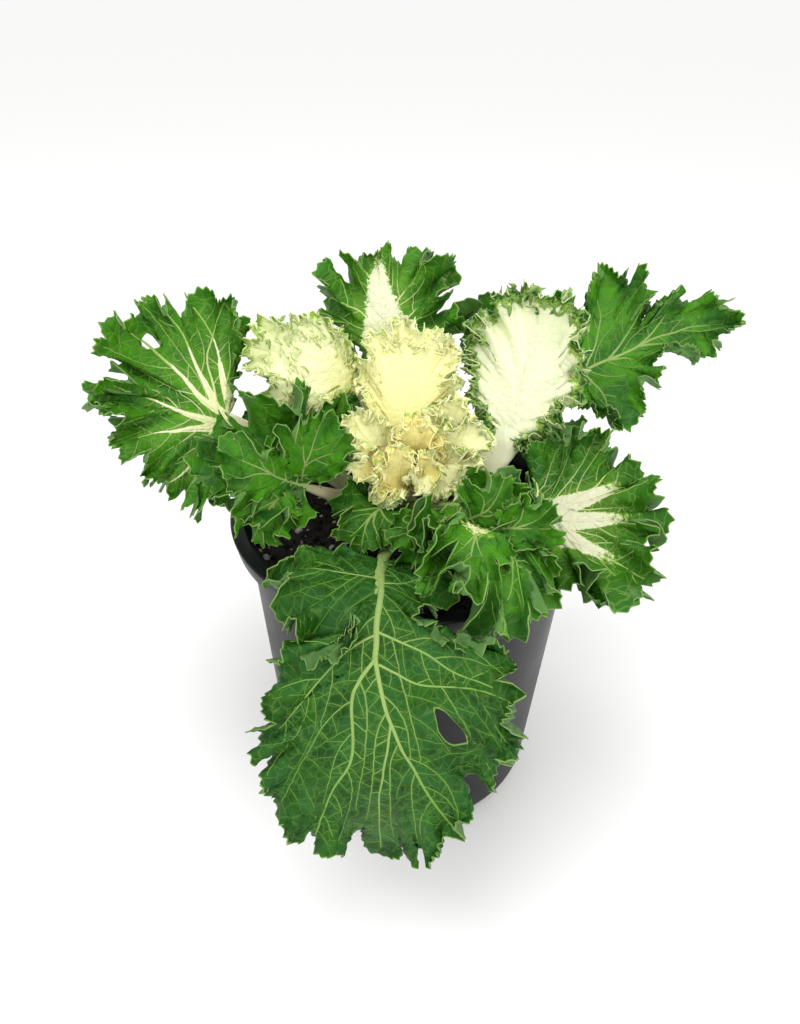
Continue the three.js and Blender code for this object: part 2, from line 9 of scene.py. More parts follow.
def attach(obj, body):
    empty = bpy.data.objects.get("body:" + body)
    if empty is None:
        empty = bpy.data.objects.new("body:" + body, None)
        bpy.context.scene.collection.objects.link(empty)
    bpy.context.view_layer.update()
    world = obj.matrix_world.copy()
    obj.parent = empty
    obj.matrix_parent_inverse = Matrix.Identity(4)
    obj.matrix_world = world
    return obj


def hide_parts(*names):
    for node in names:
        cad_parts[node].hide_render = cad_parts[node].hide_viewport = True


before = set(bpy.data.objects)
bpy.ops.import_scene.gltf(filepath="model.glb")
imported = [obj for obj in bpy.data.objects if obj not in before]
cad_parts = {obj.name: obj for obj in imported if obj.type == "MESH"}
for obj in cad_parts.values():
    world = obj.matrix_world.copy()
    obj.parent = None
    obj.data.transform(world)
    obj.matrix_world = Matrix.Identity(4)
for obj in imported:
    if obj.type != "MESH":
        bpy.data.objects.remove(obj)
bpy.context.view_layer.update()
mm = 0.001
turnRound = 2 * math.pi
mergeGap = 1e-6  # metres: points this close are one
print("frame loaded, nodes:", len(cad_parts))


# a six-digit sRGB colour as the linear values that a shader takes
def linear(hexColour):
    parts = [int(hexColour[i:i + 2], 16) / 255 for i in (1, 3, 5)]
    return [c / 12.92 if c <= 0.04045 else ((c + 0.055) / 1.055) ** 2.4 for c in parts] + [1.0]


# gives a node's live sockets these values in their order, and then the named ones theirs. A value is plain,
# a hex colour, a socket, a node (its first live output) or a list, for a socket that takes several.
def feed(node, values, named):
    live = [socket for socket in node.inputs if socket.enabled]
    for socket, given in [*zip(live, values), *((node.inputs[name], named[name]) for name in named)]:
        for source in given if isinstance(given, list) else [given]:
            if isinstance(source, bpy.types.Node):
                source = next(output for output in source.outputs if output.enabled)
            if isinstance(source, bpy.types.NodeSocket):
                node.id_data.links.new(source, socket)
            else:
                socket.default_value = linear(source) if str(source).startswith("#") else source


# adds a node with its settings and feeds its sockets; its kind goes without its family, as ShaderNode
def addNode(tree, kind, *values, sockets=None, **settings):
    families = ("GeometryNode", "FunctionNode", "ShaderNode", "Node")
    if tree.bl_idname == "ShaderNodeTree":
        families = ("ShaderNode",)
    node = tree.nodes.new(next(family + kind for family in families if hasattr(bpy.types, family + kind)))
    for name, value in settings.items():
        setattr(node, name, value)
    feed(node, values, sockets or {})
    return node


# a new material with its shader, and what adds a node to it
def newMaterial(name):
    material = bpy.data.materials.new(name)
    material.use_nodes = True
    tree = material.node_tree
    return material, tree.nodes["Principled BSDF"], partial(addNode, tree)


# colours laid over a first one, each as far as its mask says
def layered(node, colour, *layers):
    for mask, over in layers:
        colour = node("Mix", mask, colour, over, data_type="RGBA")
    return colour


# puts an object in the scene, at the origin
def addObject(name, data):
    made = bpy.data.objects.new(name, data)
    bpy.context.scene.collection.objects.link(made)
    return made


# stores values of a mesh's points or faces by name, one number or three for each
def setValues(mesh, domain="POINT", **valuesOf):
    for name, values in valuesOf.items():
        values = np.asarray(values, np.float32)
        kind, field = ("FLOAT", "value") if values.ndim == 1 else ("FLOAT_VECTOR", "vector")
        mesh.attributes.new(name, kind, domain).data.foreach_set(field, values.ravel())


# camera, floor and light come first, so that every stage can be looked at
cameraLook = {  # target and distance in millimetres, angles in degrees
    "target": (-4.4, 0, 134), "distance": 341, "elevation": 34, "roll": 1.0, "lens": 28.2, "sensor": 36,
}


def smoothStep(low, high, x):
    t = np.clip((x - low) / (high - low), 0, 1)
    return t * t * (3 - 2 * t)


def makeCamera(look):
    rise = math.radians(look["elevation"])
    back = Vector((0, -math.cos(rise), math.sin(rise)))
    right = Vector((1, 0, 0))
    up = back.cross(right)
    roll = math.radians(look["roll"])
    turned = [
        math.cos(roll) * right + math.sin(roll) * up,
        -math.sin(roll) * right + math.cos(roll) * up,
        back,
    ]
    place = Vector(look["target"]) + look["distance"] * back
    data = bpy.data.cameras.new("camera")
    data.lens = look["lens"]
    data.sensor_width = look["sensor"]
    data.clip_start, data.clip_end = 0.01, 20
    camera = addObject("camera", data)
    rows = [[*(axis[row] for axis in turned), place[row] * mm] for row in range(3)]
    camera.matrix_world = Matrix([*rows, [0, 0, 0, 1]])
    bpy.context.scene.camera = camera


makeCamera(cameraLook)

studio = {"floorHalf": 40.0, "floorColour": "#fbfbfa", "worldColour": "#ffffff", "worldStrength": 0.98}
lamps = {  # place and target in metres, size in metres, watts
    "topLamp": {"place": (-0.25, -0.25, 1.25), "target": (0, 0, 0.12), "size": 0.7, "power": 5},
    "frontLamp": {"place": (0.55, -1.05, 0.75), "target": (0, 0, 0.1), "size": 0.7, "power": 5},
}


# a matt paper floor, an even white sky and two soft round lamps
def makeStudio():
    half = studio["floorHalf"]
    mesh = bpy.data.meshes.new("floor")
    corners = [(-half, -half, 0), (half, -half, 0), (half, half, 0), (-half, half, 0)]
    mesh.from_pydata(corners, [], [(0, 1, 2, 3)])
    paper, shader, _ = newMaterial("backdropPaper")
    feed(shader, [], {"Base Color": studio["floorColour"], "Roughness": 0.8})
    mesh.materials.append(paper)
    addObject("floor", mesh)
    world = bpy.data.worlds.new("studioWorld")
    world.use_nodes = True
    sky = world.node_tree.nodes["Background"]
    feed(sky, [], {"Color": studio["worldColour"], "Strength": studio["worldStrength"]})
    bpy.context.scene.world = world
    for name, lamp in lamps.items():
        data = bpy.data.lights.new(name, "AREA")
        data.shape = "DISK"
        data.size = lamp["size"]
        data.energy = lamp["power"]
        light = addObject(name, data)
        light.location = lamp["place"]
        away = Vector(lamp["place"]) - Vector(lamp["target"])
        light.rotation_euler = away.to_track_quat("Z", "Y").to_euler()
    bpy.context.scene.view_settings.view_transform = "Standard"


makeStudio()
print("camera and studio made")

# The leaves, in millimetres and degrees. Each leaf has its own values over those of leafHabit.
# rib: stalk and midrib from the stem to the tip; stalk: how much of that comes before the blade; face:
#   where the upper side looks, at the stem and at the tip; seed: of all its draws
# outline: [across, along] round the blade, its middle point the tip; foot: where the rays start, along the
#   rib; ribShare: where they end, as a share of the blade; fold: how far each half turns up
# wave: [angle, number, phase] of the large waves; frill, crisp: [angle, band, length] of the small and the
#   tightest ones; fullness: extra cloth along the margin
# teeth: [number, height] of the lobes round the margin; fineTeeth: from one pointed tooth to the next
# lobes: [number, depth] of the bays; curl: [share, angle, band, length] of margin that rolls over
# holes: [across, along, long half, short half, tilt]
# stalkWidth: at the stem and at the blade; stalkDepth: depth, as a share; ribFade: how far the rib shows
# veins: side veins in each half; veinWidth: at the rib and at the margin; veinRise: how proud they stand
# veinPaths: drawn veins, each [first width, last width, points]; branches: levels that fork off them
# cream: [how far it reaches from the foot, green margin round it, how much further it follows drawn veins];
#   fingerWidth, fingerCore: how wide that is, and its share at full strength; ragged, blend: its border
# look: one of the skins; tone: lighter or darker; bloomShare: bluish clouds; warmth: reach of the yellow;
#   pucker: strength of the fine relief
# columns: rays to a lobe; stride: how many of them are left out by the rib; ringGap: between rings;
#   crowding: how much closer the rings are at the margin
# curlStep: from one small curl to the next, 0 for none; curlBand: how far in they stand; curlInset: how far
#   in their colour is taken; greenCurls: the share of green ones
leafHabit = {
    "foot": 0, "ribShare": 0.5, "fold": [15, 15], "wave": [45, 6, 0], "frill": [50, 5, 12],
    "crisp": [44, 2.4, 6], "fullness": 0.4, "teeth": [28, 3.2], "fineTeeth": 1.2, "lobes": [9, 0.12],
    "curl": [0.34, 115, 5, 10], "holes": [], "stalkWidth": [7, 3], "stalkDepth": 0.38, "ribFade": 0.5,
    "veins": 4, "veinWidth": [1.5, 0.6], "veinRise": 0.12, "branches": 2, "veinPaths": [],
    "cream": [-12, 4, 3], "fingerWidth": 1.9, "fingerCore": 0.16, "ragged": 9, "blend": 1, "look": "green",
    "tone": 0, "bloomShare": 0.55, "warmth": 22, "pucker": 1.6, "columns": 24, "stride": 8, "ringGap": 1.3,
    "crowding": 1.4, "curlStep": 0, "curlBand": 3, "curlInset": 3, "greenCurls": 0,
}
paleBlade = {"crowding": 1.5, "lobes": [9, 0.1], "branches": 0, "veinRise": 0.03, "veinWidth": [1.3, 0.4]}
hiddenBlade = {"columns": 16, "ringGap": 2.0, "fineTeeth": 1.7}
leaves = {
    "leaf_front": {
        "rib": [[-5, -7, 130], [-9, -28, 137], [-11, -50, 144], [-11.5, -70, 147], [-11.5, -84, 143],
                [-10, -95, 131], [-8, -102, 112], [-8, -105, 86], [-8, -103, 60], [-8, -99, 34]],
        "stalk": 40, "face": [[0, -0.2, 1], [0, -1, 0.2]], "seed": 3,
        "outline": [[-1, 6], [-16, 2], [-25, 20], [-14, 36], [-28, 50], [-41, 50], [-44, 70], [-40, 86],
                    [-32, 108], [-18, 130], [2, 152], [24, 127], [39, 98], [43, 70], [30, 46], [15, 50],
                    [6, 41], [26, 42], [36, 28], [30, 0], [4, 3]],
        "fold": [8, 8], "wave": [18, 7, 0.1], "frill": [40, 5, 17], "crisp": [36, 2.6, 7.5],
        "teeth": [40, 4.2], "fineTeeth": 1.8, "lobes": [13, 0.1], "curl": [0.3, 115, 5, 15],
        "holes": [[-21.5, 76, 7.5, 3, 125]], "stalkWidth": [7.5, 4.6], "ribFade": 0.9, "veins": 0,
        "veinPaths": [[3.4, 2.6, [[0, 0], [-1, 21], [0, 41], [1, 50]]],
                      [1.9, 0.9, [[1, 50], [7, 57], [10, 64], [12, 88], [19, 102], [25, 119], [27, 124]]],
                      [2.4, 1.0, [[1, 50], [0, 61], [-2, 73], [-6, 84], [-11, 94], [-18, 109], [-27, 126]]],
                      [1.2, 0.7, [[-2, 73], [0, 88], [2, 110], [2, 148]]],
                      [1.1, 0.6, [[0, 42], [7, 45], [14, 50], [27, 62], [36, 72]]],
                      [1.1, 0.6, [[0, 41], [-13, 48], [-24, 56], [-36, 62]]],
                      [1.2, 0.6, [[0, 52], [-5, 55], [-13, 60], [-29, 62], [-42, 66]]],
                      [1.0, 0.6, [[0, 20], [-10, 18], [-20, 10]]],
                      [1.0, 0.6, [[0, 16], [12, 14], [26, 12]]]],
        "tone": -0.4, "bloomShare": 0.85, "stride": 4, "ringGap": 1.5,
    },
    "leaf_left": {
        "rib": [[-10, 2, 134], [-36, 7, 149], [-60, 9, 163], [-76, 8, 173], [-100, 6, 182], [-128, 2, 190]],
        "stalk": 70, "face": [[0.1, -0.6, 0.9], [0.1, -0.95, 0.4]], "seed": 5,
        "outline": [[-8, 4], [-22, -6], [-39, -1], [-33, 28], [-20, 50], [-11, 48], [-6, 62], [9, 52],
                    [19, 58], [38, 39], [45, 17], [28, 12], [5, 8]],
        "foot": 6, "ribShare": 0.3, "fold": [12, 12], "wave": [36, 7, 0.3], "frill": [54, 5, 11],
        "crisp": [46, 2.8, 5.5], "teeth": [40, 3.6], "lobes": [9, 0.1], "curl": [0.4, 120, 4.5, 9],
        "holes": [[20, 41, 3.6, 2.7, 100]], "stalkWidth": [7, 6], "ribFade": 0.9, "veins": 1,
        "veinPaths": [[3.4, 0.6, [[0, 3], [4, 17], [11, 28], [18, 40], [22, 48]]],
                      [2.0, 0.5, [[3, 12], [15, 22], [27, 30], [34, 36]]],
                      [2.4, 0.6, [[0, 3], [11, 11], [25, 18], [38, 27]]],
                      [2.8, 0.6, [[-3, 4], [-3, 21], [-1, 37], [2, 50]]],
                      [2.2, 0.5, [[-4, 6], [-10, 23], [-17, 38]]],
                      [2.0, 0.5, [[-3, 4], [-18, 12], [-32, 21]]]],
        "cream": [9, 9, 26], "fingerWidth": 1.9, "ragged": 3.5, "look": "creamVeined", "tone": 0.3,
        "warmth": 34,
    },
    "leaf_left_front": {
        "rib": [[-10, -3, 142], [-27, -10, 148], [-44, -16, 157], [-60, -20, 166], [-78, -22, 170]],
        "stalk": 22, "face": [[0, -0.3, 1], [-0.1, -0.85, 0.55]], "seed": 7,
        "outline": [[-3, 20], [-12, 13], [-20, 28], [-18, 43], [-10, 54], [0, 58], [14, 52], [33, 33],
                    [42, 6], [27, -8], [8, 10]],
        "foot": 14, "fold": [-10, 20], "wave": [50, 8, 0.55], "frill": [62, 6, 12], "crisp": [52, 3.2, 5.5],
        "teeth": [32, 3.8], "lobes": [9, 0.2], "curl": [0.4, 115, 4.5, 9], "stalkWidth": [12, 3],
        "veins": 3, "veinWidth": [0.9, 0.5], "look": "paleStalk", "tone": 0.3, "bloomShare": 0.9,
    },
    "leaf_left_cream": {
        **paleBlade,
        "rib": [[-9.5, 4, 150], [-16, 19, 166], [-25, 23, 182], [-38, 21, 194], [-54, 18, 200],
                [-66, 17, 205]],
        "stalk": 38, "face": [[0, -0.6, 1], [0.1, -1, 0.4]], "seed": 11,
        "outline": [[-2, 4], [-16, 10], [-25, 26], [-21, 37], [-13, 45], [-3, 50], [9, 46], [13, 36],
                    [14, 24], [9, 13], [3, 5]],
        "fold": [20, 20], "wave": [22, 6, 0.2], "frill": [54, 2.8, 8], "crisp": [54, 1.8, 4.4],
        "teeth": [28, 2.6], "cream": [80, 1.6, 0], "ragged": 4, "look": "greenFlecked", "curlStep": 0.4,
        "curlBand": 19, "greenCurls": 0.48,
    },
    "leaf_back": {
        "rib": [[-5, 8, 147], [-8, 27, 170], [-10, 40, 190], [-12, 50, 207], [-13, 58, 221], [-14, 63, 232]],
        "stalk": 48, "face": [[0, -1, 0.3], [0, -1, 0.55]], "seed": 13,
        "outline": [[-4, 4], [-19, 14], [-27, 28], [-25, 42], [-11, 47], [3, 48], [21, 46], [29, 37],
                    [24, 29], [36, 20], [8, 2]],
        "wave": [50, 6, 0.6], "teeth": [32, 3.4], "lobes": [9, 0.2], "veins": 3,
        "veinPaths": [[3.2, 0.7, [[0, 1], [-1, 12], [-2, 26], [-3, 44]]]], "cream": [12, 7, 30],
        "fingerWidth": 11, "fingerCore": 0.2, "ragged": 14, "blend": 2, "look": "creamVeined", "tone": 0.3,
    },
    "leaf_centre_cream": {
        **paleBlade,
        "rib": [[-4, -6, 152], [-4.5, 0, 158], [-4, 9, 168], [-3, 18, 181], [-2, 25, 194], [-1, 30, 206],
                [-1, 34, 214]],
        "stalk": 5, "face": [[0, -1, 0.6], [0, -1, 0.3]], "seed": 17,
        "outline": [[-3, 0], [-11, 7], [-15, 20], [-17, 33], [-19, 46], [-12, 57], [0, 60], [13, 57],
                    [20, 46], [19, 34], [13, 20], [8, 8], [3, 0]],
        "fold": [18, 18], "wave": [22, 6, 0.1], "frill": [54, 2.8, 8], "crisp": [54, 1.8, 4.4],
        "teeth": [32, 2.4], "cream": [80, 0.6, 0], "ragged": 4, "look": "paleYellow", "warmth": 62,
        "curlStep": 0.5, "curlBand": 10, "greenCurls": 0.1,
    },
    "leaf_right_cream": {
        **paleBlade,
        "rib": [[5, 3, 147], [20, 3, 150], [31, 5, 156], [39, 9, 168], [44, 16, 183], [45, 22, 199],
                [43, 27, 214], [41, 31, 224]],
        "stalk": 40, "face": [[-0.4, -0.3, 1], [-0.2, -1, 0.3]], "seed": 19,
        "outline": [[-4, 0], [-20, 16], [-23, 40], [-17, 56], [-5, 60], [6, 60], [18, 53], [24, 38],
                    [21, 22], [14, 10], [5, 0]],
        "fold": [22, 22], "wave": [26, 7, 0.45], "frill": [56, 3.4, 9], "crisp": [54, 2.2, 5],
        "teeth": [32, 2.8], "stalkWidth": [12, 15], "stalkDepth": 0.2, "cream": [80, 4.4, 0], "ragged": 5,
        "look": "greenRimmed", "warmth": 4, "curlStep": 0.6, "curlBand": 7, "greenCurls": 0.9,
    },
    "leaf_right_back": {
        "rib": [[1, 8, 146], [17, 30, 161], [33, 45, 182], [47, 56, 203], [54, 62, 216]], "stalk": 56,
        "face": [[-0.3, -0.6, 1], [-0.2, -1, 0.5]], "seed": 23,
        "outline": [[-3, 2], [-16, 10], [-19, 24], [-12, 34], [0, 37], [13, 34], [20, 24], [17, 10], [3, 2]],
        "fold": [20, 20], "wave": [50, 5, 0.5], "teeth": [24, 3], "tone": 0.2,
    },
    "leaf_far_right": {
        "rib": [[5, 4, 140], [30, 22, 151], [52, 36, 165], [70, 45, 177], [90, 52, 184], [109, 56, 192],
                [126, 58, 198], [144, 60, 201]],
        "stalk": 80, "face": [[0, -0.5, 1], [0, -0.85, 0.6]], "seed": 29,
        "outline": [[-4, 6], [-20, 22], [-38, 38], [-27, 52], [-11, 49], [-17, 68], [2, 84], [14, 66],
                    [6, 50], [18, 38], [30, 16], [14, 4], [2, 4]],
        "ribShare": 0.6, "fold": [8, 8], "wave": [30, 8, 0.2], "teeth": [36, 3.8], "lobes": [7, 0.14],
        "tone": 0.4, "bloomShare": 0.8,
    },
    "leaf_right": {
        "rib": [[5, -3, 138], [28, -14, 145], [50, -24, 152], [66, -28, 156], [84, -30, 160],
                [100, -30, 162]],
        "stalk": 48, "face": [[0, -0.3, 1], [0.1, -0.6, 0.95]], "seed": 31,
        "outline": [[-3, 2], [-20, -4], [-35, 8], [-31, 28], [-17, 40], [-2, 47], [17, 45], [33, 38],
                    [42, 26], [30, 20], [32, 11], [20, 3], [3, 3]],
        "ribShare": 0.35, "fold": [15, 5], "wave": [38, 8, 0.15], "frill": [58, 5, 11],
        "crisp": [50, 3, 5.5], "teeth": [36, 3.4], "lobes": [9, 0.14], "curl": [0.4, 115, 4.5, 9],
        "stalkWidth": [7, 6], "ribFade": 0.3, "veins": 2,
        "veinPaths": [[3.0, 0.8, [[2, 1], [-2, 14], [-6, 27], [-10, 38]]],
                      [2.6, 0.7, [[3, 2], [5, 16], [6, 32], [7, 44]]],
                      [2.4, 0.6, [[4, 3], [13, 14], [20, 26], [28, 38]]]],
        "cream": [6, 6, 27], "fingerWidth": 5.4, "fingerCore": 0.45, "ragged": 13, "blend": 2.4,
        "look": "greyCream", "tone": -0.05, "warmth": 8, "pucker": 0.6,
    },
    "leaf_front_right": {
        "rib": [[0, -7, 142], [12, -17, 150], [22, -29, 156], [30, -43, 159], [37, -57, 158],
                [43, -69, 152], [47, -77, 144]],
        "stalk": 20, "face": [[0, -0.3, 1], [0.2, -0.7, 0.8]], "seed": 38,
        "outline": [[-4, 2], [-15, 12], [-17, 28], [-10, 46], [-5, 60], [1, 70], [10, 75], [20, 72],
                    [28, 63], [35, 50], [30, 26], [18, 3], [4, 2]],
        "fold": [10, 27], "wave": [30, 8, 0.7], "frill": [62, 6, 12], "crisp": [52, 3.2, 5.5],
        "teeth": [32, 3.8], "lobes": [9, 0.12], "curl": [0.4, 115, 4, 7], "tone": 0.2, "bloomShare": 0.8,
    },
    "leaf_front_small": {
        "rib": [[-6, -6, 142], [-10, -16, 148], [-15, -26, 150], [-20, -36, 146], [-23, -43, 139]],
        "stalk": 10, "face": [[0, -0.3, 1], [-0.1, -0.8, 0.7]], "seed": 41,
        "outline": [[-1, -2], [-9, 5], [-11, 20], [-2, 29], [10, 23], [15, 9], [5, -2]],
        "wave": [50, 5, 0.2], "frill": [52, 4, 10], "teeth": [20, 2.8], "stalkWidth": [5, 3],
    },
    "leaf_left_back": {
        **hiddenBlade,
        "rib": [[-7, 2, 141], [-21, 24, 154], [-32, 42, 164], [-41, 56, 171], [-49, 68, 173]], "stalk": 46,
        "face": [[0.2, -0.4, 1], [0.1, -0.5, 1]], "seed": 45,
        "outline": [[-3, 2], [-16, 8], [-25, 24], [-18, 40], [-1, 48], [17, 40], [24, 24], [16, 8], [3, 2]],
        "fold": [20, 20], "wave": [40, 5, 0.1], "teeth": [24, 3.2],
    },
    "leaf_low_back": {
        **hiddenBlade,
        "rib": [[-3, 4, 136], [-9, 30, 143], [-14, 54, 147], [-18, 74, 148], [-22, 90, 139],
                [-26, 101, 124], [-28, 107, 106]],
        "stalk": 52, "face": [[0, 0.2, 1], [-0.2, 1, 0.4]], "seed": 47,
        "outline": [[-3, 2], [-20, 8], [-31, 28], [-25, 50], [-9, 66], [2, 70], [14, 64], [27, 48],
                    [30, 26], [20, 8], [3, 2]],
        "fold": [-10, -10], "wave": [28, 7, 0.3],
    },
    "leaf_low_left": {
        **hiddenBlade,
        "rib": [[-8, 7, 131], [-31, 23, 139], [-53, 38, 147], [-69, 50, 150], [-84, 61, 139],
                [-94, 69, 124]],
        "stalk": 50, "face": [[0, 0, 1], [-0.7, 0.6, 0.7]], "seed": 53,
        "outline": [[-3, 2], [-19, 8], [-28, 26], [-20, 46], [0, 60], [20, 46], [28, 26], [19, 8], [3, 2]],
        "fold": [-10, -10], "wave": [28, 6, 0.8],
    },
    "leaf_low_right": {
        **hiddenBlade,
        "rib": [[0, 4, 130], [20, 26, 139], [38, 44, 146], [53, 58, 148], [66, 70, 139], [75, 79, 124]],
        "stalk": 50, "face": [[0, 0, 1], [0.6, 0.7, 0.7]], "seed": 59,
        "outline": [[-3, 2], [-19, 8], [-28, 26], [-20, 46], [0, 60], [20, 46], [28, 26], [19, 8], [3, 2]],
        "fold": [-10, -10], "wave": [28, 6, 0.4],
    },
}

offBlade = 9.0  # the share of the way to the margin that stands for a place outside it
farAway = 20.0  # millimetres to the nearest vein where there is none
pointsAtOnce = 3000  # of the blade, when they look for the nearest vein
marginSamples = 1200


# the same vectors, each of length one
def unit(vectors):
    return vectors / np.maximum(np.linalg.norm(vectors, axis=-1, keepdims=True), 1e-9)


# a smooth curve through the points, at shares of its way
def splineThrough(points, shares):
    p = np.array(points, float)
    count = len(p)
    p = np.vstack([2 * p[0] - p[1], p, 2 * p[-1] - p[-2]])
    along = np.clip(np.asarray(shares, float), 0, 1) * (count - 1)
    i = np.minimum(np.floor(along).astype(int), count - 2)
    w = (along - i)[..., None]
    a, b, c, d = p[i], p[i + 1], p[i + 2], p[i + 3]
    ta, tb = 0.5 * (c - a), 0.5 * (d - b)
    return b + ta * w + (-3 * b + 3 * c - 2 * ta - tb) * w ** 2 + (2 * b - 2 * c + ta + tb) * w ** 3


# a fixed draw between 0 and 1 for the nth item of a leaf with that seed
def draw(n, seed):
    x = np.sin(n * 12.9898 + seed * 78.233) * 43758.5453
    return x - np.floor(x)


# a wave of straight flanks, from 0 up to 1 and back
def zigzag(x):
    return 1 - np.abs(2 * (x - np.floor(x)) - 1)


# place, forward, side and up at distances along the rib, and straight on past both of its ends
def makeRib(leaf, samples=240):
    points = splineThrough(leaf["rib"], np.linspace(0, 1, samples + 1))
    lengths = np.concatenate([[0], np.cumsum(np.linalg.norm(np.diff(points, axis=0), axis=1))])
    order = np.arange(samples + 1)
    tangents = unit(points[np.minimum(order + 5, samples)] - points[np.maximum(order - 5, 0)])
    faces = unit(np.array(leaf["face"], float))
    total = lengths[-1]

    def frameAt(distance):
        inside = np.clip(distance, 0, total)
        place = np.stack([np.interp(inside, lengths, points[:, k]) for k in range(3)], -1)
        forward = unit(np.stack([np.interp(inside, lengths, tangents[:, k]) for k in range(3)], -1))
        place = place + forward * (distance - inside)[..., None]
        share = (inside / total)[..., None]
        side = unit(np.cross(forward, faces[0] * (1 - share) + faces[1] * share))
        return place, forward, side, np.cross(side, forward)

    return frameAt


# where the ray of a turn leaves the rib
def rayRoot(leaf, turn):
    length = leaf["outline"][len(leaf["outline"]) // 2][1]
    return leaf["foot"] + (leaf["ribShare"] * length - leaf["foot"]) * (1 - np.abs(turn)) ** 1.2


# how far round the margin each turn is, as a share of its whole length, and how long that is in millimetres
def marginCourse(leaf):
    around = np.linspace(0, 1, marginSamples + 1)
    steps = np.linalg.norm(np.diff(splineThrough(leaf["outline"], around), axis=0), axis=1)
    course = np.concatenate([[0], np.cumsum(steps)])
    return 2 * around - 1, course / course[-1], course[-1]


# turns for the rays, about evenly spaced along the margin and alike in both halves
def evenTurns(leaf):
    turns, course, _ = marginCourse(leaf)
    half = leaf["columns"] * leaf["teeth"][0] // 2
    tip = course[len(course) // 2]
    left = -np.interp(np.linspace(0, tip, half + 1), course, turns)
    right = np.interp(np.linspace(1, tip, half + 1), course, turns)
    mean = (left + right) / 2
    return np.concatenate([-mean, mean[-2::-1]])


# how far along the margin a turn is, in millimetres, and at which of its lobes
def runAt(leaf, turn):
    turns, course, length = marginCourse(leaf)
    run = length * np.interp(turn, turns, course)
    return run, leaf["teeth"][0] * run / length


# the blade's margin with its teeth; turn goes from -1 left of the stalk, over 0 at the tip, to 1
def marginAt(leaf, turn):
    around = (turn + 1) / 2
    place = splineThrough(leaf["outline"], around)
    after, before = (splineThrough(leaf["outline"], around + shift) for shift in (0.01, -0.01))
    along = unit(after - before)
    height, seed = leaf["teeth"][1], leaf["seed"]
    run, tooth = runAt(leaf, turn)
    lobed = np.abs(np.sin(math.pi * tooth)) ** 0.8 - 0.6
    reach = height * (0.5 + 0.7 * draw(np.floor(tooth), seed)) * lobed
    # between the lobes' own teeth, pointed ones of uneven height that lean towards the tip
    fine = run / leaf["fineTeeth"] + 0.5 * np.sin(0.3 * run + seed)
    part = fine - np.floor(fine)
    peak = np.where(turn < 0, 0.62, 0.38)
    sharp = np.where(part < peak, part / peak, (1 - part) / (1 - peak)) ** 1.5
    reach = reach + height * ((0.25 + 0.5 * draw(np.floor(fine), seed + 9)) * sharp - 0.2)
    place = place + reach[:, None] * np.stack([-along[:, 1], along[:, 0]], -1)
    # narrow bays between the large lobes, each of its own depth
    lobes, depth = leaf["lobes"]
    bay = lobes * tooth / leaf["teeth"][0] + 0.25 * np.sin(0.1 * run + 3 * seed)
    depth = depth * (0.5 + draw(np.round(bay), seed + 17)) * (1 - zigzag(bay)) ** 4
    root = np.column_stack([np.zeros(len(turn)), rayRoot(leaf, turn)])
    return root + (place - root) * (1 - depth[:, None])


# where flat points of the blade lie once it follows the rib and its halves are folded up
def bentPoints(leaf, frameAt, x, y):
    place, _, side, up = frameAt(leaf["stalk"] + y)
    halfWidth = max(abs(p[0]) for p in leaf["outline"])
    fold = np.radians(np.where(x < 0, leaf["fold"][0], leaf["fold"][1])) / halfWidth
    fold = np.where(np.abs(fold) < 1e-6, 1e-6, fold)
    angle = fold * np.abs(x)
    across = (np.sin(angle) / fold * np.sign(x))[..., None]
    lift = ((1 - np.cos(angle)) / fold)[..., None]
    normal = up * np.cos(angle)[..., None] - side * (np.sign(x) * np.sin(angle))[..., None]
    return place + side * across + up * lift, normal


# how steeply rays climb out of the blade, and how far they swing sideways
def frillAngles(leaf, turn, share, toMargin):
    around = (turn + 1) / 2
    seed = leaf["seed"]
    drifts = ((0.9, 1.7, 1), (0.6, 3.3, 2))
    drift = sum(size * np.sin(turnRound * (rate * around + draw(n, seed))) for size, rate, n in drifts)
    waveAngle, waves, wavePhase = leaf["wave"]
    phase = turnRound * (waves * around + wavePhase) + drift
    run, _ = runAt(leaf, turn)
    climb = math.radians(waveAngle) * share ** 2 * np.sin(phase)
    swing = -0.25 * math.radians(waveAngle) * share ** 2 * np.sin(2 * phase)
    # each kind of small wave: how far in it reaches, how its length drifts, how uneven it is, its swing
    uneven = 0.9 + 0.25 * np.sin(0.21 * run + 5 * seed) + 0.2 * np.sin(0.47 * run + 3 * seed)
    rough = 0.8 + 0.4 * np.sin(0.31 * run + 7 * seed)
    for (angle, band, length), depth, wander, strength, back in (
        (leaf["frill"], 1.4, 1.3 * np.sin(0.12 * run + seed), uneven, 0.22),
        (leaf["crisp"], 1, 1.6 * np.sin(0.17 * run + 2 * seed), rough, 0.15),
    ):
        phase = turnRound * run / length + wander
        size = math.radians(angle) * strength * np.exp(-toMargin / (depth * band))
        climb = climb + size * np.sin(phase)
        swing = swing - back * size * np.sin(2 * phase)
    curlShare, curlAngle, curlBand, curlLength = leaf["curl"]
    lobe = run / curlLength
    curled = (draw(np.floor(lobe), seed + 80) < curlShare) * np.sin(math.pi * (lobe - np.floor(lobe))) ** 1.2
    climb = climb + math.radians(curlAngle) * curled * smoothStep(curlBand, 0.3 * curlBand, toMargin)
    return climb, swing


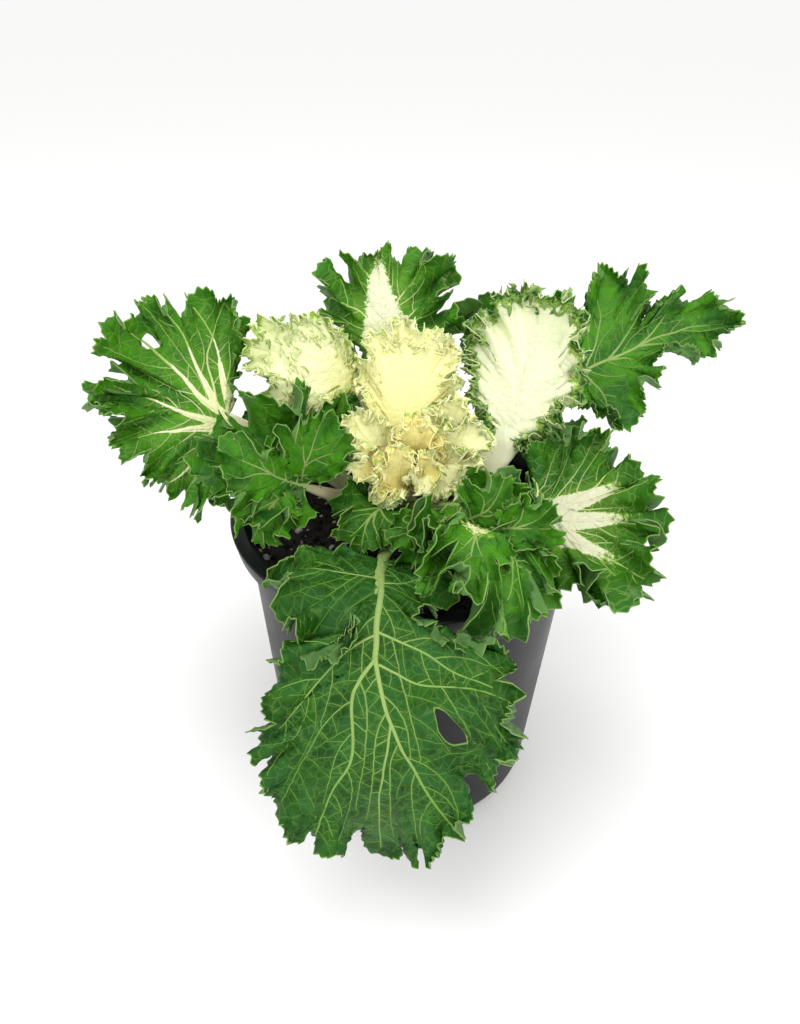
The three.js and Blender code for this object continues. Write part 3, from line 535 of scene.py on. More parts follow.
# the whole blade as a grid of rays from the rib to the margin, flat and in its place
def bladeGrid(leaf):
    frameAt = makeRib(leaf)
    turn = evenTurns(leaf)
    columns = len(turn) - 1
    margin = marginAt(leaf, turn)
    rootY = rayRoot(leaf, turn)
    longest = np.hypot(margin[:, 0], margin[:, 1] - rootY).max()
    steps = 4 * max(6, round(longest / leaf["ringGap"] / 4))
    shares = 1 - (1 - np.linspace(0, 1, steps + 1)) ** leaf["crowding"]
    x = margin[:, :1] * shares
    y = rootY[:, None] + (margin[:, 1:] - rootY[:, None]) * shares
    flat, normal = bentPoints(leaf, frameAt, x, y)
    length = np.hypot(margin[:, 0], margin[:, 1] - rootY)
    out = np.diff(flat, axis=1)
    stride = np.linalg.norm(out, axis=2, keepdims=True)
    out = unit(out)
    normal = normal[:, 1:]
    along = np.cross(out, normal)
    middle = (shares[:-1] + shares[1:]) / 2
    climb, swing = frillAngles(leaf, turn[:, None], middle[None], (1 - middle[None]) * length[:, None])
    damped = smoothStep(3, 15, length)[:, None]
    climb, swing = climb * damped, swing * damped
    cloth = 1 + leaf["fullness"] * np.exp(-(1 - middle[None]) * length[:, None] / 7)
    stride = stride * cloth[..., None]
    climb, swing = climb[..., None], swing[..., None]
    move = out * np.cos(climb) * np.cos(swing) + along * np.cos(climb) * np.sin(swing)
    move = move + normal * np.sin(climb)
    points = np.concatenate([flat[:, :1], flat[:, :1] + np.cumsum(move * stride, axis=1)], axis=1)
    outward = np.gradient(points, axis=1)
    normals = unit(np.cross(np.gradient(points, axis=0), outward))
    toMargin = length[:, None] * (1 - shares[None])
    return {
        "columns": columns, "steps": steps, "margin": margin, "rootY": rootY, "points": points,
        "normals": normals, "turn": turn, "flat": np.stack([x, y], -1), "toMargin": toMargin,
        "share": np.broadcast_to(shares, x.shape), "shares": shares,
    }


# the column and the share of the way out at which flat points lie
def locate(grid, spots):
    rootY, margin = grid["rootY"], grid["margin"]
    px = np.where(np.abs(spots[:, :1]) < 0.01, 0.01, spots[:, :1])
    py = spots[:, 1:]
    side = margin[:, 0] * (py - rootY) - (margin[:, 1] - rootY) * px
    a, b = side[:, :-1], side[:, 1:]
    w = a / np.where(a == b, 1, a - b)
    root = rootY[:-1] * (1 - w) + rootY[1:] * w
    farX = margin[:-1, 0] * (1 - w) + margin[1:, 0] * w
    farY = margin[:-1, 1] * (1 - w) + margin[1:, 1] * w
    hit = (np.signbit(a) != np.signbit(b)) & (farX * px + (farY - root) * (py - root) > 0)
    share = np.hypot(px, py - root) / np.maximum(np.hypot(farX, farY - root), 1e-6)
    share = np.where(hit, share, offBlade)
    best = share.argmin(1)
    order = np.arange(len(spots))
    found = np.column_stack([best + w[order, best], share[order, best]])
    return np.where(found[:, 1:] < offBlade, found, [grid["columns"] / 2, offBlade])


# values that the grid holds, between its points
def between(grid, values, column, share):
    step = np.interp(share, grid["shares"], np.arange(grid["steps"] + 1))
    j = np.clip(np.floor(column).astype(int), 0, values.shape[0] - 2)
    i = np.clip(np.floor(step).astype(int), 0, values.shape[1] - 2)
    u, v = (column - j)[:, None], (step - i)[:, None]
    low = values[j, i] * (1 - v) + values[j, i + 1] * v
    high = values[j + 1, i] * (1 - v) + values[j + 1, i + 1] * v
    return low * (1 - u) + high * u


# Side veins run out to the margin, and their branches grow in steps until they meet the margin or a vein.
# reach: the share of the way out where drawn veins and branches end; mostSteps: of a branch; clear: the
# room it needs to start; meet: how close it comes before it joins; branches: [gap, angle at the fork,
# first width, last width, how fast they bend outwards] of each level.
veinHabit = {
    "step": 1.2, "meet": 1.1, "clear": 1.0, "mostSteps": 48, "reach": [0.97, 0.955],
    "branches": [[11.5, 50, 0.8, 0.45, 0.05], [7.0, 60, 0.42, 0.3, 0.03]],
}


# a heading on the flat blade turned by an angle
def turnedBy(heading, angle):
    c, s = math.cos(angle), math.sin(angle)
    return np.array([heading[0] * c - heading[1] * s, heading[0] * s + heading[1] * c])


# a drawn vein or a side vein, cut off where it reaches the margin
def veinAlong(grid, points, widths, sway):
    points = np.array(points, float)
    length = np.linalg.norm(np.diff(points, axis=0), axis=1).sum()
    share = np.linspace(0, 1, max(4, int(length / veinHabit["step"])))
    path = splineThrough(points, share)
    heading = unit(np.gradient(path, axis=0))
    shift = sway * np.sin(share * length / 3.1 + points[-1, 0]) * np.sin(math.pi * share)
    path = path + shift[:, None] * np.stack([-heading[:, 1], heading[:, 0]], -1)
    on = locate(grid, path)[:, 1] < veinHabit["reach"][0]
    start = int(np.argmax(on))
    end = start + int(np.argmin(on[start:])) if not on[start:].all() else len(path)
    return path[start:end], (widths[0] + (widths[1] - widths[0]) * share ** 0.7)[start:end]


# a branch that leaves its parent at a fork and creeps on until it meets the margin or another vein
def branchFrom(grid, fork, heading, known, bend, number, seed):
    spot, branch = fork.copy(), [fork.copy()]
    for step in range(veinHabit["mostSteps"]):
        outwards = unit(spot - np.array([0, 0.25 * max(0.0, spot[1])]))
        away = heading[0] * outwards[1] - heading[1] * outwards[0]
        wobble = 0.10 * math.sin(1.3 * step + 7 * draw(number, seed))
        heading = unit(turnedBy(heading, bend * np.sign(away) + wobble))
        spot = spot + heading * veinHabit["step"]
        if locate(grid, spot[None])[0, 1] > veinHabit["reach"][1]:
            break
        gaps = np.linalg.norm(known - spot, axis=1)
        gaps[np.linalg.norm(known - fork, axis=1) < 1.5 + 0.5 * step] = 9
        nearest = int(gaps.argmin())
        if gaps[nearest] < veinHabit["meet"]:
            branch.append(known[nearest])
            break
        branch.append(spot.copy())
    return np.array(branch)


# all veins of a leaf, each [points, widths, level]: 0 drawn or the midrib, 1 a side vein, 2 and up a branch
def growVeins(leaf, grid):
    seed = leaf["seed"]
    foot, rim = leaf["veinWidth"]
    paths = [(*veinAlong(grid, points, (first, last), 0.15), 0) for first, last, points in leaf["veinPaths"]]
    if not paths:
        tip = leaf["outline"][len(leaf["outline"]) // 2]
        end = rayRoot(leaf, 0.0)
        middle = [[0, leaf["foot"] + 0.5], [0, 0.5 * (leaf["foot"] + end)], [0, end]]
        middle += [[0.5 * tip[0], (end + tip[1]) / 2], tip]
        paths.append((*veinAlong(grid, middle, (1.5 * foot, rim), 0.3), 0))
    for side in (-1, 1):
        for k in range(leaf["veins"]):
            turn = side * (k + 0.65 + 0.25 * draw(k + side, seed)) / (leaf["veins"] + 0.1)
            root = np.array([0, float(rayRoot(leaf, turn))])
            column = float(np.interp(turn, grid["turn"], np.arange(grid["columns"] + 1)))
            far = between(grid, grid["flat"], np.array([column]), np.array([0.98]))[0]
            bow = np.array([root[1] - far[1], far[0] - root[0]]) * side * 0.1
            paths.append((*veinAlong(grid, [root, (root + far) / 2 + bow, far], (foot, rim), 0.4), 1))
    paths = [path for path in paths if len(path[0]) > 3]
    for order, (gap, degrees, first, last, bend) in enumerate(veinHabit["branches"][:leaf["branches"]]):
        known = np.vstack([path for path, _, _ in paths])
        for parent, (path, width, _) in enumerate(list(paths)):
            lengths = np.concatenate([[0], np.cumsum(np.linalg.norm(np.diff(path, axis=0), axis=1))])
            side = 1 if draw(parent, seed + 3) > 0.5 else -1
            start = gap * (0.35 + 0.4 * draw(parent, seed + 5))
            while start < lengths[-1] - 1.2:
                i = int(np.searchsorted(lengths, start))
                ahead = unit(path[min(i + 1, len(path) - 1)] - path[max(i - 1, 0)])
                angle = math.radians(degrees + 18 * (draw(start, seed) - 0.5)) * side
                number = start + 31 * parent + order
                clear = np.linalg.norm(known - (path[i] + 2.4 * turnedBy(ahead, angle)), axis=1).min()
                if clear > veinHabit["clear"]:
                    branch = branchFrom(grid, path[i], turnedBy(ahead, angle), known, bend, number, seed)
                    if any((holeReach(leaf, hole, branch) < 1.1).any() for hole in leaf["holes"]):
                        branch = branch[:1]
                    if len(branch) > 2:
                        share = np.linspace(0, 1, len(branch))
                        thick = np.minimum(first + (last - first) * share, 0.9 * width[i])
                        paths.append((branch, thick, 2 + order))
                        known = np.vstack([known, branch])
                side = -side
                start += gap * (0.4 + 0.25 * draw(start, seed + 7))
    return paths


# how far out in a hole flat points are: 1 at its uneven rim
def holeReach(leaf, hole, spots):
    across, along, longHalf, shortHalf, tilt = hole
    c, s = math.cos(math.radians(tilt)), math.sin(math.radians(tilt))
    x, y = spots[:, 0] - across, spots[:, 1] - along
    u, v = (x * c + y * s) / longHalf, (y * c - x * s) / shortHalf
    return np.hypot(u, v) / (1 + 0.15 * np.sin(3 * np.arctan2(v, u) + turnRound * draw(3, leaf["seed"])))


# where points of the flat blade lie in the patterns, of which each leaf has its own slice
def inPattern(leaf, flat):
    return np.column_stack([flat, np.full(len(flat), 37.0 * leaf["seed"])])


# the blade as a sheet, with fewer rays towards the rib, and how far each of its points is from the veins
def bladeSheet(leaf, grid, veins):
    steps, columns = grid["steps"], grid["columns"]
    eighths = [int(8 * step / steps) for step in range(steps + 1)]
    strides = [leaf["stride"] if part < 4 else {4: 4, 5: 4, 6: 2}.get(part, 1) for part in eighths]
    vertexOf, picked = {}, []
    for step, stride in enumerate(strides):
        for j in range(0, columns + 1, stride):
            if step == 0 and j > columns // 2:
                vertexOf[step, j] = vertexOf[step, columns - j]
            else:
                vertexOf[step, j] = len(picked)
                picked.append((j, step))
    faces = []
    for step in range(1, steps + 1):
        wide, fine = strides[step - 1], strides[step]
        for j in range(0, columns, wide):
            a0, a1 = vertexOf[step - 1, j], vertexOf[step - 1, j + wide]
            b0, b2 = vertexOf[step, j], vertexOf[step, j + wide]
            if fine == wide:
                faces.append((a0, a1, b2, b0) if a0 != a1 else (a0, b2, b0))
            else:
                b1 = vertexOf[step, j + fine]
                faces += [(a0, b1, b0), (a0, a1, b1), (a1, b2, b1)]
    count = len(picked)
    flat, points, toMargin, share = (grid[key][tuple(np.transpose(picked))]
                                     for key in ("flat", "points", "toMargin", "share"))
    for hole in leaf["holes"]:
        reached = holeReach(leaf, hole, flat)
        inside = reached < 1
        faces = [face for face in faces if not all(inside[v] for v in face)]
        kept = np.zeros(count, bool)
        kept[[v for face in faces for v in face]] = True
        edge = inside & kept
        flat[edge] += (flat[edge] - hole[:2]) * (1 / np.maximum(reached[edge], 0.05) - 1)[:, None]
        place = locate(grid, flat[edge])
        points[edge] = between(grid, grid["points"], place[:, 0], np.minimum(place[:, 1], 0.97))
    for hole in leaf["holes"]:
        toMargin = np.minimum(toMargin, np.maximum((holeReach(leaf, hole, flat) - 1) * hole[3], 0.1))
    near = np.full((count, 3), farAway)
    for part in np.array_split(np.arange(count), max(1, count // pointsAtOnce)) if veins else []:
        for into, top in enumerate((2, 9, 1)):  # to the main veins, to any, and to the drawn ones
            spots = np.vstack([path for path, _, level in veins if level < top]).astype(np.float32)
            away = ((flat[part, None].astype(np.float32) - spots[None]) ** 2).sum(-1)
            near[part, into] = np.sqrt(away.min(1))
    values = {
        "flat": inPattern(leaf, flat), "near": near,
        "reach": np.column_stack([share, toMargin, np.hypot(flat[:, 0], flat[:, 1])]),
    }
    used = np.unique([v for face in faces for v in face])
    order = np.full(count, -1)
    order[used] = np.arange(len(used))
    faces = [tuple(int(order[v]) for v in face) for face in faces]
    return points[used], faces, {key: value[used] for key, value in values.items()}


# the veins as lines that lie under the blade's upper face by almost their own half width
def veinLines(leaf, grid, veins, jump, allVeins):
    points, edges, carried, count = [], [], [], 0
    drawn = np.vstack([path for path, _, level in allVeins if level == 0])
    for path, width, level in veins:
        kept = np.unique(np.append(np.arange(0, len(path), jump), len(path) - 1))
        path, width = path[kept], width[kept]
        place = locate(grid, path)
        column, share = place[:, 0], np.clip(place[:, 1], 0, 0.985)
        spot = between(grid, grid["points"], column, share)
        normal = unit(between(grid, grid["normals"], column, np.maximum(share, 0.03)))
        points.append(spot + normal * (leaf["veinRise"] * (1 + width) - width / 2)[:, None])
        edges += [(count + i, count + i + 1) for i in range(len(path) - 1)]
        toMargin = between(grid, grid["toMargin"][..., None], column, share)[:, 0]
        away = np.linalg.norm(path[:, None] - drawn[None], axis=2).min(1)
        same = np.ones(len(path))
        carried.append({
            "halfWidth": width * mm / 2, "faint": 0.27 * max(0, level - 1) * same,
            "flat": inPattern(leaf, path),
            "reach": np.column_stack([place[:, 1], toMargin, np.hypot(path[:, 0], path[:, 1])]),
            "near": np.column_stack([(0.5 if level < 2 else 2.2) * same, 0 * same, away]),
        })
        count += len(path)
    mesh = bpy.data.meshes.new("veinLines")
    mesh.from_pydata((np.vstack(points) * mm).tolist(), edges, [])
    setValues(mesh, **{key: np.concatenate([values[key] for values in carried]) for key in carried[0]})
    return mesh


# the faces of a tube of rings, with a fan at either end to one of the two points that come after all rings
def tubeFaces(rings, around):
    faces, count = [], rings * around
    for i in range(rings - 1):
        for j in range(around):
            k = (j + 1) % around
            faces.append((i * around + j, i * around + k, (i + 1) * around + k, (i + 1) * around + j))
    for j in range(around):
        k = (j + 1) % around
        faces += [(count, k, j), (count + 1, count - around + j, count - around + k)]
    return faces


# stalk and midrib: a rod with a shallow channel on top that follows the rib and thins towards the tip
def stalkShell(leaf, around=20, rings=57):
    bare = leaf["stalk"] + leaf["foot"]
    length = bare + (rayRoot(leaf, 0.0) - leaf["foot"]) * leaf["ribFade"]
    distance = np.linspace(0, 1, rings) * length
    place, _, side, up = makeRib(leaf)(distance)
    wide, narrow = leaf["stalkWidth"]
    onStalk = np.minimum(distance / bare, 1)
    onBlade = np.maximum(distance - bare, 0) / (length - bare)
    width = (wide + (narrow - wide) * onStalk) * (1 - 0.6 * onBlade)
    angle = np.arange(around) * turnRound / around
    channel = 1 - 0.3 * np.exp(-((angle - math.pi / 2) / 0.5) ** 2)
    sideways = np.cos(angle)
    sink = 0.5 + 0.55 * smoothStep(0, 0.9, onBlade)
    upwards = (np.sin(angle) * channel)[None] - sink[:, None]
    ring = place[:, None] + side[:, None] * (sideways[None, :, None] * width[:, None, None] / 2)
    ring = ring + up[:, None] * (upwards[:, :, None] * width[:, None, None] * leaf["stalkDepth"])
    points = np.vstack([ring.reshape(-1, 3), ring[:1].mean(1), ring[-1:].mean(1)])
    count = len(points)
    lengthwise = np.append(np.repeat(distance, around), [0, length])
    sidewise = np.append(np.tile(sideways, rings), [0, 0])
    return points, tubeFaces(rings, around), {
        "flat": inPattern(leaf, np.column_stack([sidewise * 4, lengthwise * 0.2])),
        "near": np.tile([farAway, farAway, 0.0], (count, 1)),
        "reach": np.column_stack([np.zeros(count), np.full(count, 30.0), lengthwise - bare]),
    }


# a mesh in metres from pieces in millimetres, each [points, faces, values at the points, 1 for a stalk]
def meshFrom(name, *pieces):
    vertices, polygons, values, stalks = zip(*pieces)
    starts = np.cumsum([0, *map(len, vertices)])
    faces = [tuple(int(start) + v for v in face) for start, part in zip(starts, polygons) for face in part]
    mesh = bpy.data.meshes.new(name)
    mesh.from_pydata((np.vstack(vertices) * mm).tolist(), [], faces)
    if values[0]:
        setValues(mesh, **{key: np.vstack([part[key] for part in values]) for key in values[0]})
        setValues(mesh, "FACE", stalk=np.repeat(stalks, [len(part) for part in polygons]))
    return mesh


# a new tree with a number input for each of these, what adds a node to it, and what it is given
def newTree(name, numbers):
    tree = bpy.data.node_groups.new(name, "GeometryNodeTree")
    add = tree.interface.new_socket
    add("Geometry", in_out="INPUT", socket_type="NodeSocketGeometry")
    for label, value in numbers.items():
        kind = "NodeSocketInt" if isinstance(value, int) else "NodeSocketFloat"
        add(label, in_out="INPUT", socket_type=kind).default_value = value
    add("Finish", in_out="INPUT", socket_type="NodeSocketMaterial")
    add("Geometry", in_out="OUTPUT", socket_type="NodeSocketGeometry")
    node = partial(addNode, tree)
    return tree, node, node("GroupInput").outputs


# the last nodes of every tree: real geometry in its finish
def endTree(tree, geometry, finish):
    real = addNode(tree, "RealizeInstances", geometry)
    addNode(tree, "GroupOutput", addNode(tree, "SetMaterial", real, True, finish))
    return tree


# a sheet and a copy of it pushed back by the depth, joined along their rims; the back may be marked as such
def thickened(node, sheet, depth, marked=False):
    back = node("ExtrudeMesh", sheet, sockets={"Offset Scale": depth, "Individual": False}, mode="FACES")
    if marked:
        mark = partial(node, "StoreNamedAttribute", data_type="FLOAT", domain="FACE")
        sheet, back = mark(sheet, True, "under", 0.0), mark(back, True, "under", 1.0)
    both = node("JoinGeometry", [sheet, node("FlipFaces", back)])
    return node("MergeByDistance", both, True, mergeGap)


smooth = {"interpolation_type": "SMOOTHSTEP"}
vector = {"data_type": "FLOAT_VECTOR"}
paleRelief = {"Main Puff": 0.15, "Side Puff": 0.0, "Cell Puff": 0.0}
bladeRelief = {"Main Puff": 0.8, "Side Puff": 0.5, "Cell Puff": 0.12, "Cell Size": 3.6, "Thickness": 0.38}


# puffs the blade up between its veins and gives it its thickness; the stalk passes through as it is
def makeBladeTree():
    tree, node, given = newTree("bladeRelief", bladeRelief)
    isStalk = node("InputNamedAttribute", "stalk", data_type="FLOAT")
    isStalk = node("Math", isStalk, 0.5, operation="GREATER_THAN")
    stalk, blade = node("SeparateGeometry", given["Geometry"], isStalk, domain="FACE").outputs
    flat, near, reach = (node("InputNamedAttribute", name, **vector) for name in ("flat", "near", "reach"))
    nearMain, nearAny, _ = node("SeparateXYZ", near).outputs
    toMargin = node("SeparateXYZ", reach).outputs[1]
    perMm = node("Math", 1.0, given["Cell Size"], operation="DIVIDE")
    cells = node("TexVoronoi", flat, perMm, feature="DISTANCE_TO_EDGE")
    rise = node("MapRange", cells, 0.0, 0.35, **smooth)
    height = node("Math", rise, given["Cell Puff"], operation="MULTIPLY")
    for distance, width, puff in ((nearMain, 9.0, "Main Puff"), (nearAny, 3.2, "Side Puff")):
        rise = node("MapRange", distance, 0.4, width, **smooth)
        height = node("Math", rise, given[puff], height, operation="MULTIPLY_ADD")
    offVein = node("MapRange", nearAny, 0.7, 2.4, **smooth)
    offMargin = node("MapRange", toMargin, 0.0, 5.0, **smooth)
    for factor in (offMargin, offVein, mm):
        height = node("Math", height, factor, operation="MULTIPLY")
    offset = node("VectorMath", node("InputNormal"), height, operation="SCALE")
    upper = node("SetPosition", blade, sockets={"Offset": offset})
    depth = node("Math", given["Thickness"], -mm, operation="MULTIPLY")
    whole = node("JoinGeometry", [thickened(node, upper, depth, marked=True), stalk])
    return endTree(tree, node("SetShadeSmooth", whole), given["Finish"])


# a thin tube along each line, as wide as the line says
def makeVeinTree():
    tree, node, given = newTree("veinTubes", {"Sides": 6})
    curve = node("MeshToCurve", given["Geometry"])
    halfWidth = node("InputNamedAttribute", "halfWidth", data_type="FLOAT")
    curve = node("SetCurveRadius", curve, True, halfWidth)
    tube = node("CurveToMesh", curve, node("CurvePrimitiveCircle", given["Sides"]), halfWidth, True)
    tube = node("StoreNamedAttribute", tube, True, "stalk", 1.0, data_type="FLOAT", domain="FACE")
    return endTree(tree, node("SetShadeSmooth", tube), given["Finish"])


# puts a tree on a mesh with these inputs and returns what it makes, as an object at the origin
def growObject(name, mesh, tree, inputs):
    carrier = addObject(name + "Carrier", mesh)
    modifier = carrier.modifiers.new("grow", "NODES")
    modifier.node_group = tree
    sockets = {item.name: item.identifier for item in tree.interface.items_tree if item.in_out == "INPUT"}
    for socket, value in inputs.items():
        modifier[sockets[socket]] = value
    made = bpy.data.meshes.new_from_object(carrier.evaluated_get(bpy.context.evaluated_depsgraph_get()))
    bpy.data.objects.remove(carrier)
    made.name = name
    return addObject(name, made)


# joins these objects into the first of them
def joinObjects(kept, *others):
    parts = [kept, *others]
    if others:
        chosen = {"active_object": kept, "object": kept, "selected_editable_objects": parts}
        with bpy.context.temp_override(**chosen, selected_objects=parts):
            bpy.ops.object.join()
    return kept


# puts a piece on the root body, hides the nodes that it stands for and prints its faces
def settle(piece, slot, *nodes):
    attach(piece, "root")
    if nodes:
        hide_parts(*nodes)
    print(piece.name, "made, faces:", len(piece.data.polygons))


# leaf colours, from the darkest green to the cream and yellow, and how light scatters in the leaf
skins = {
    "green": {
        "dark": "#153f06", "light": "#478a14", "bloom": "#24591f", "halo": "#3f741e", "vein": "#739b45",
        "rib": "#93ad62", "stalk": "#8fa35e", "edge": "#94b358", "under": "#6b8f55", "lime": "#7fae35",
        "cream": "#eef1cc", "yellow": "#e9efa4", "depth": 0.12, "scatter": (0.5, 1.0, 0.15),
    },
    "cream": {
        "dark": "#1b4a0c", "light": "#3f7a1c", "bloom": "#245a22", "halo": "#6fa03c", "vein": "#f6f8d0",
        "rib": "#f0f2cf", "stalk": "#e2e3c2", "edge": "#f4f6c4", "under": "#eff2bc", "lime": "#a9cb55",
        "cream": "#f4f8c2", "yellow": "#f6f09a", "depth": 0.12, "scatter": (1.0, 1.0, 0.8),
    },
}
skins["creamVeined"] = {**skins["green"], "rib": "#f1f3b6", "vein": "#98bb5c", "stalk": "#dcdcb4"}
skins["paleStalk"] = {**skins["green"], "stalk": "#b9b18c", "rib": "#a9bd78"}
skins["greyCream"] = {**skins["creamVeined"], "cream": "#d6d7b4", "yellow": "#d4daa4", "lime": "#7ea62e"}
skins["paleYellow"] = {**skins["cream"], "cream": "#f8f8c0", "yellow": "#f7ee98"}
skins["greenFlecked"] = {**skins["cream"], "edge": "#bfd483"}
skins["greenRimmed"] = {
    **skins["cream"], "edge": "#9cc368", "cream": "#f3f7cf", "yellow": "#e8ecc8", "dark": "#17480a",
    "light": "#2f6d12",
}
skins["heart"] = {**skins["cream"], "yellow": "#f4e078", "under": "#ece4a0", "cream": "#f6f6ba"}
skins["gold"] = {**skins["cream"], "yellow": "#f8e488", "under": "#f6e698", "cream": "#fbf0a4"}
# the lime band round the cream, the halo and the net of veins, and the pale edge: millimetres and shares
border = {
    "limeDepth": 3.5, "limeAlong": 2.0, "limeShare": 0.35, "haloReach": 1.3, "netShare": 0.2,
    "edgeShare": 0.65,
}


# a living leaf's waxy skin: an even satin sheen, light that goes a little way in, and a paler underside.
# The patterns lie on the flat blade in millimetres, so a noise of scale 0.05 has patches of about 20 mm.
def makeSkin(name, look, leaf):
    material, shader, node = newMaterial(name)
    flat, near, reach = (node("Attribute", attribute_name=key).outputs["Vector"]
                         for key in ("flat", "near", "reach"))
    stalk, under, faint, curled = (node("Attribute", attribute_name=key).outputs["Fac"]
                                   for key in ("stalk", "under", "faint", "rim"))
    _, nearAny, nearDrawn = node("SeparateXYZ", near).outputs
    share, toMargin, fromFoot = node("SeparateXYZ", reach).outputs

    # greens: a drift of 20 mm over the blade and a mottle of 2 mm, bluish wax in clouds of 11 mm, a light
    # halo beside the veins and a fine net of the smallest ones
    broad = node("TexNoise", flat, 0.05, 3.0)
    mottle = node("TexNoise", flat, 0.45, 4.0, 0.65)
    tone = node("Math", broad, 1.1, leaf["tone"] - 0.4, operation="MULTIPLY_ADD")
    tone = node("Math", mottle, 0.7, tone, operation="MULTIPLY_ADD", use_clamp=True)
    bloom = node("TexNoise", flat, 0.09, 2.0, sockets={"Distortion": 0.6})
    bloom = node("MapRange", bloom, 0.42, 0.62, 0.0, leaf["bloomShare"], **smooth)
    halo = node("MapRange", nearAny, 0.2, border["haloReach"], 0.35, 0.0)
    cells = node("TexVoronoi", flat, 1 / bladeRelief["Cell Size"], feature="DISTANCE_TO_EDGE")
    net = node("MapRange", cells, 0.07, 0.01, 0.0, border["netShare"], **smooth)
    green = layered(node, look["dark"], (tone, look["light"]), (bloom, look["bloom"]), (halo, look["halo"]),
                    (net, look["vein"]))

    # cream: depth inside its border in millimetres, drawn out along the veins and broken by a noise of 1 mm
    creamRun, greenRim, alongVeins = leaf["cream"]
    width = leaf["fingerWidth"]
    inside = node("Math", creamRun, fromFoot, operation="SUBTRACT")
    rim = node("Math", toMargin, greenRim, operation="SUBTRACT")
    depth = node("Math", inside, rim, operation="MINIMUM")
    finger = node("MapRange", nearDrawn, leaf["fingerCore"] * width, width, alongVeins, 0.0)
    depth = node("Math", depth, finger, operation="ADD")
    ragged = node("TexNoise", flat, 0.8, 4.0, 0.7)
    ragged = node("MapRange", ragged, 0.0, 1.0, -leaf["ragged"], leaf["ragged"])
    depth = node("Math", ragged, depth, operation="ADD")
    creamMask = node("MapRange", depth, -0.6 * leaf["blend"], 1.2 * leaf["blend"], **smooth)
    warm = node("MapRange", fromFoot, 2.0, leaf["warmth"], 1.0, 0.0)
    cream = layered(node, look["cream"], (warm, look["yellow"]))
    limeMask = node("MapRange", depth, -border["limeDepth"], 0.2, **smooth)
    if alongVeins > 15:
        reached = creamRun + alongVeins
        limeRun = node("MapRange", fromFoot, 0.6 * reached, reached + 8.0, border["limeShare"], 0.0)
        limeWide = node("MapRange", nearDrawn, width, width + border["limeAlong"], 1.0, 0.0)
        limeWide = node("Math", limeWide, limeRun, operation="MULTIPLY")
        limeMask = node("Math", limeMask, limeWide, operation="MAXIMUM")

    # a pale line along the very edge, the paler underside, and the veins with the stalk
    edge = node("MapRange", toMargin, 0.4, 0.1, 0.0, border["edgeShare"], **smooth)
    edge = node("Math", edge, curled, operation="MAXIMUM")
    underShare = node("Math", under, 0.5, operation="MULTIPLY")
    blade = layered(node, green, (limeMask, look["lime"]), (creamMask, cream), (edge, look["edge"]),
                    (underShare, look["under"]))
    toVein = node("MapRange", share, 0.0, 0.7)
    onBlade = node("MapRange", fromFoot, -3.0, 1.0, **smooth)
    pastFoot = node("MapRange", fromFoot, 0.5, 3.0)
    creamShare = node("Math", creamMask, pastFoot, operation="MULTIPLY")
    vein = layered(node, look["rib"], (toVein, look["vein"]), (faint, look["halo"]))
    vein = layered(node, look["stalk"], (onBlade, vein), (creamShare, cream))

    # relief of half a millimetre at most: the mottle, the net pressed in and the cells between it raised
    sunk = node("Math", mottle, 0.5, operation="MULTIPLY")
    sunk = node("Math", net, -0.6, sunk, operation="MULTIPLY_ADD")
    sunk = node("Math", cells, leaf["pucker"], sunk, operation="MULTIPLY_ADD")
    colour = layered(node, blade, (stalk, vein))
    gloss = node("MapRange", mottle, 0.0, 1.0, 0.4, 0.62)
    bump = node("Bump", 0.8, 0.5 * mm, sockets={"Height": sunk})
    feed(shader, [], {
        "Base Color": colour, "Roughness": gloss, "Normal": bump, "IOR": 1.4, "Specular IOR Level": 0.22,
        "Subsurface Weight": look["depth"], "Subsurface Radius": look["scatter"], "Subsurface Scale": mm,
    })
    return material


# the small tight curls that edge the pale leaves
curlHabit = {"size": 2.3, "thickness": 0.45, "cup": 95, "across": 4, "along": 2}


# one curl: a small fan with a toothed edge, cupped and twisted, from its foot at the origin up along z
def makeCurlMesh():
    across, along = curlHabit["across"], curlHabit["along"]
    points, rims, faces = [], [], []
    for j in range(along + 1):
        for i in range(across + 1):
            s, r = 2 * i / across - 1, j / along
            reach = r * (1 + 0.12 * (-1) ** i * r)
            spread = math.radians(curlHabit["cup"]) * s
            roll = 0.5 * r ** 2 * math.cos(3.2 * s) + 0.3 * r * s
            depth = roll + 0.28 * math.sin(5 * s) * r
            points.append([reach * math.sin(spread), depth, reach * math.cos(spread) * (1 - 0.2 * r)])
            rims.append(0.5 * (j == along))
            if i < across and j < along:
                k = j * (across + 1) + i
                faces.append((k, k + 1, k + across + 2, k + across + 1))
    mesh = bpy.data.meshes.new("curl")
    mesh.from_pydata((np.array(points) * curlHabit["size"] * mm).tolist(), [], faces)
    setValues(mesh, rim=rims)
    return mesh


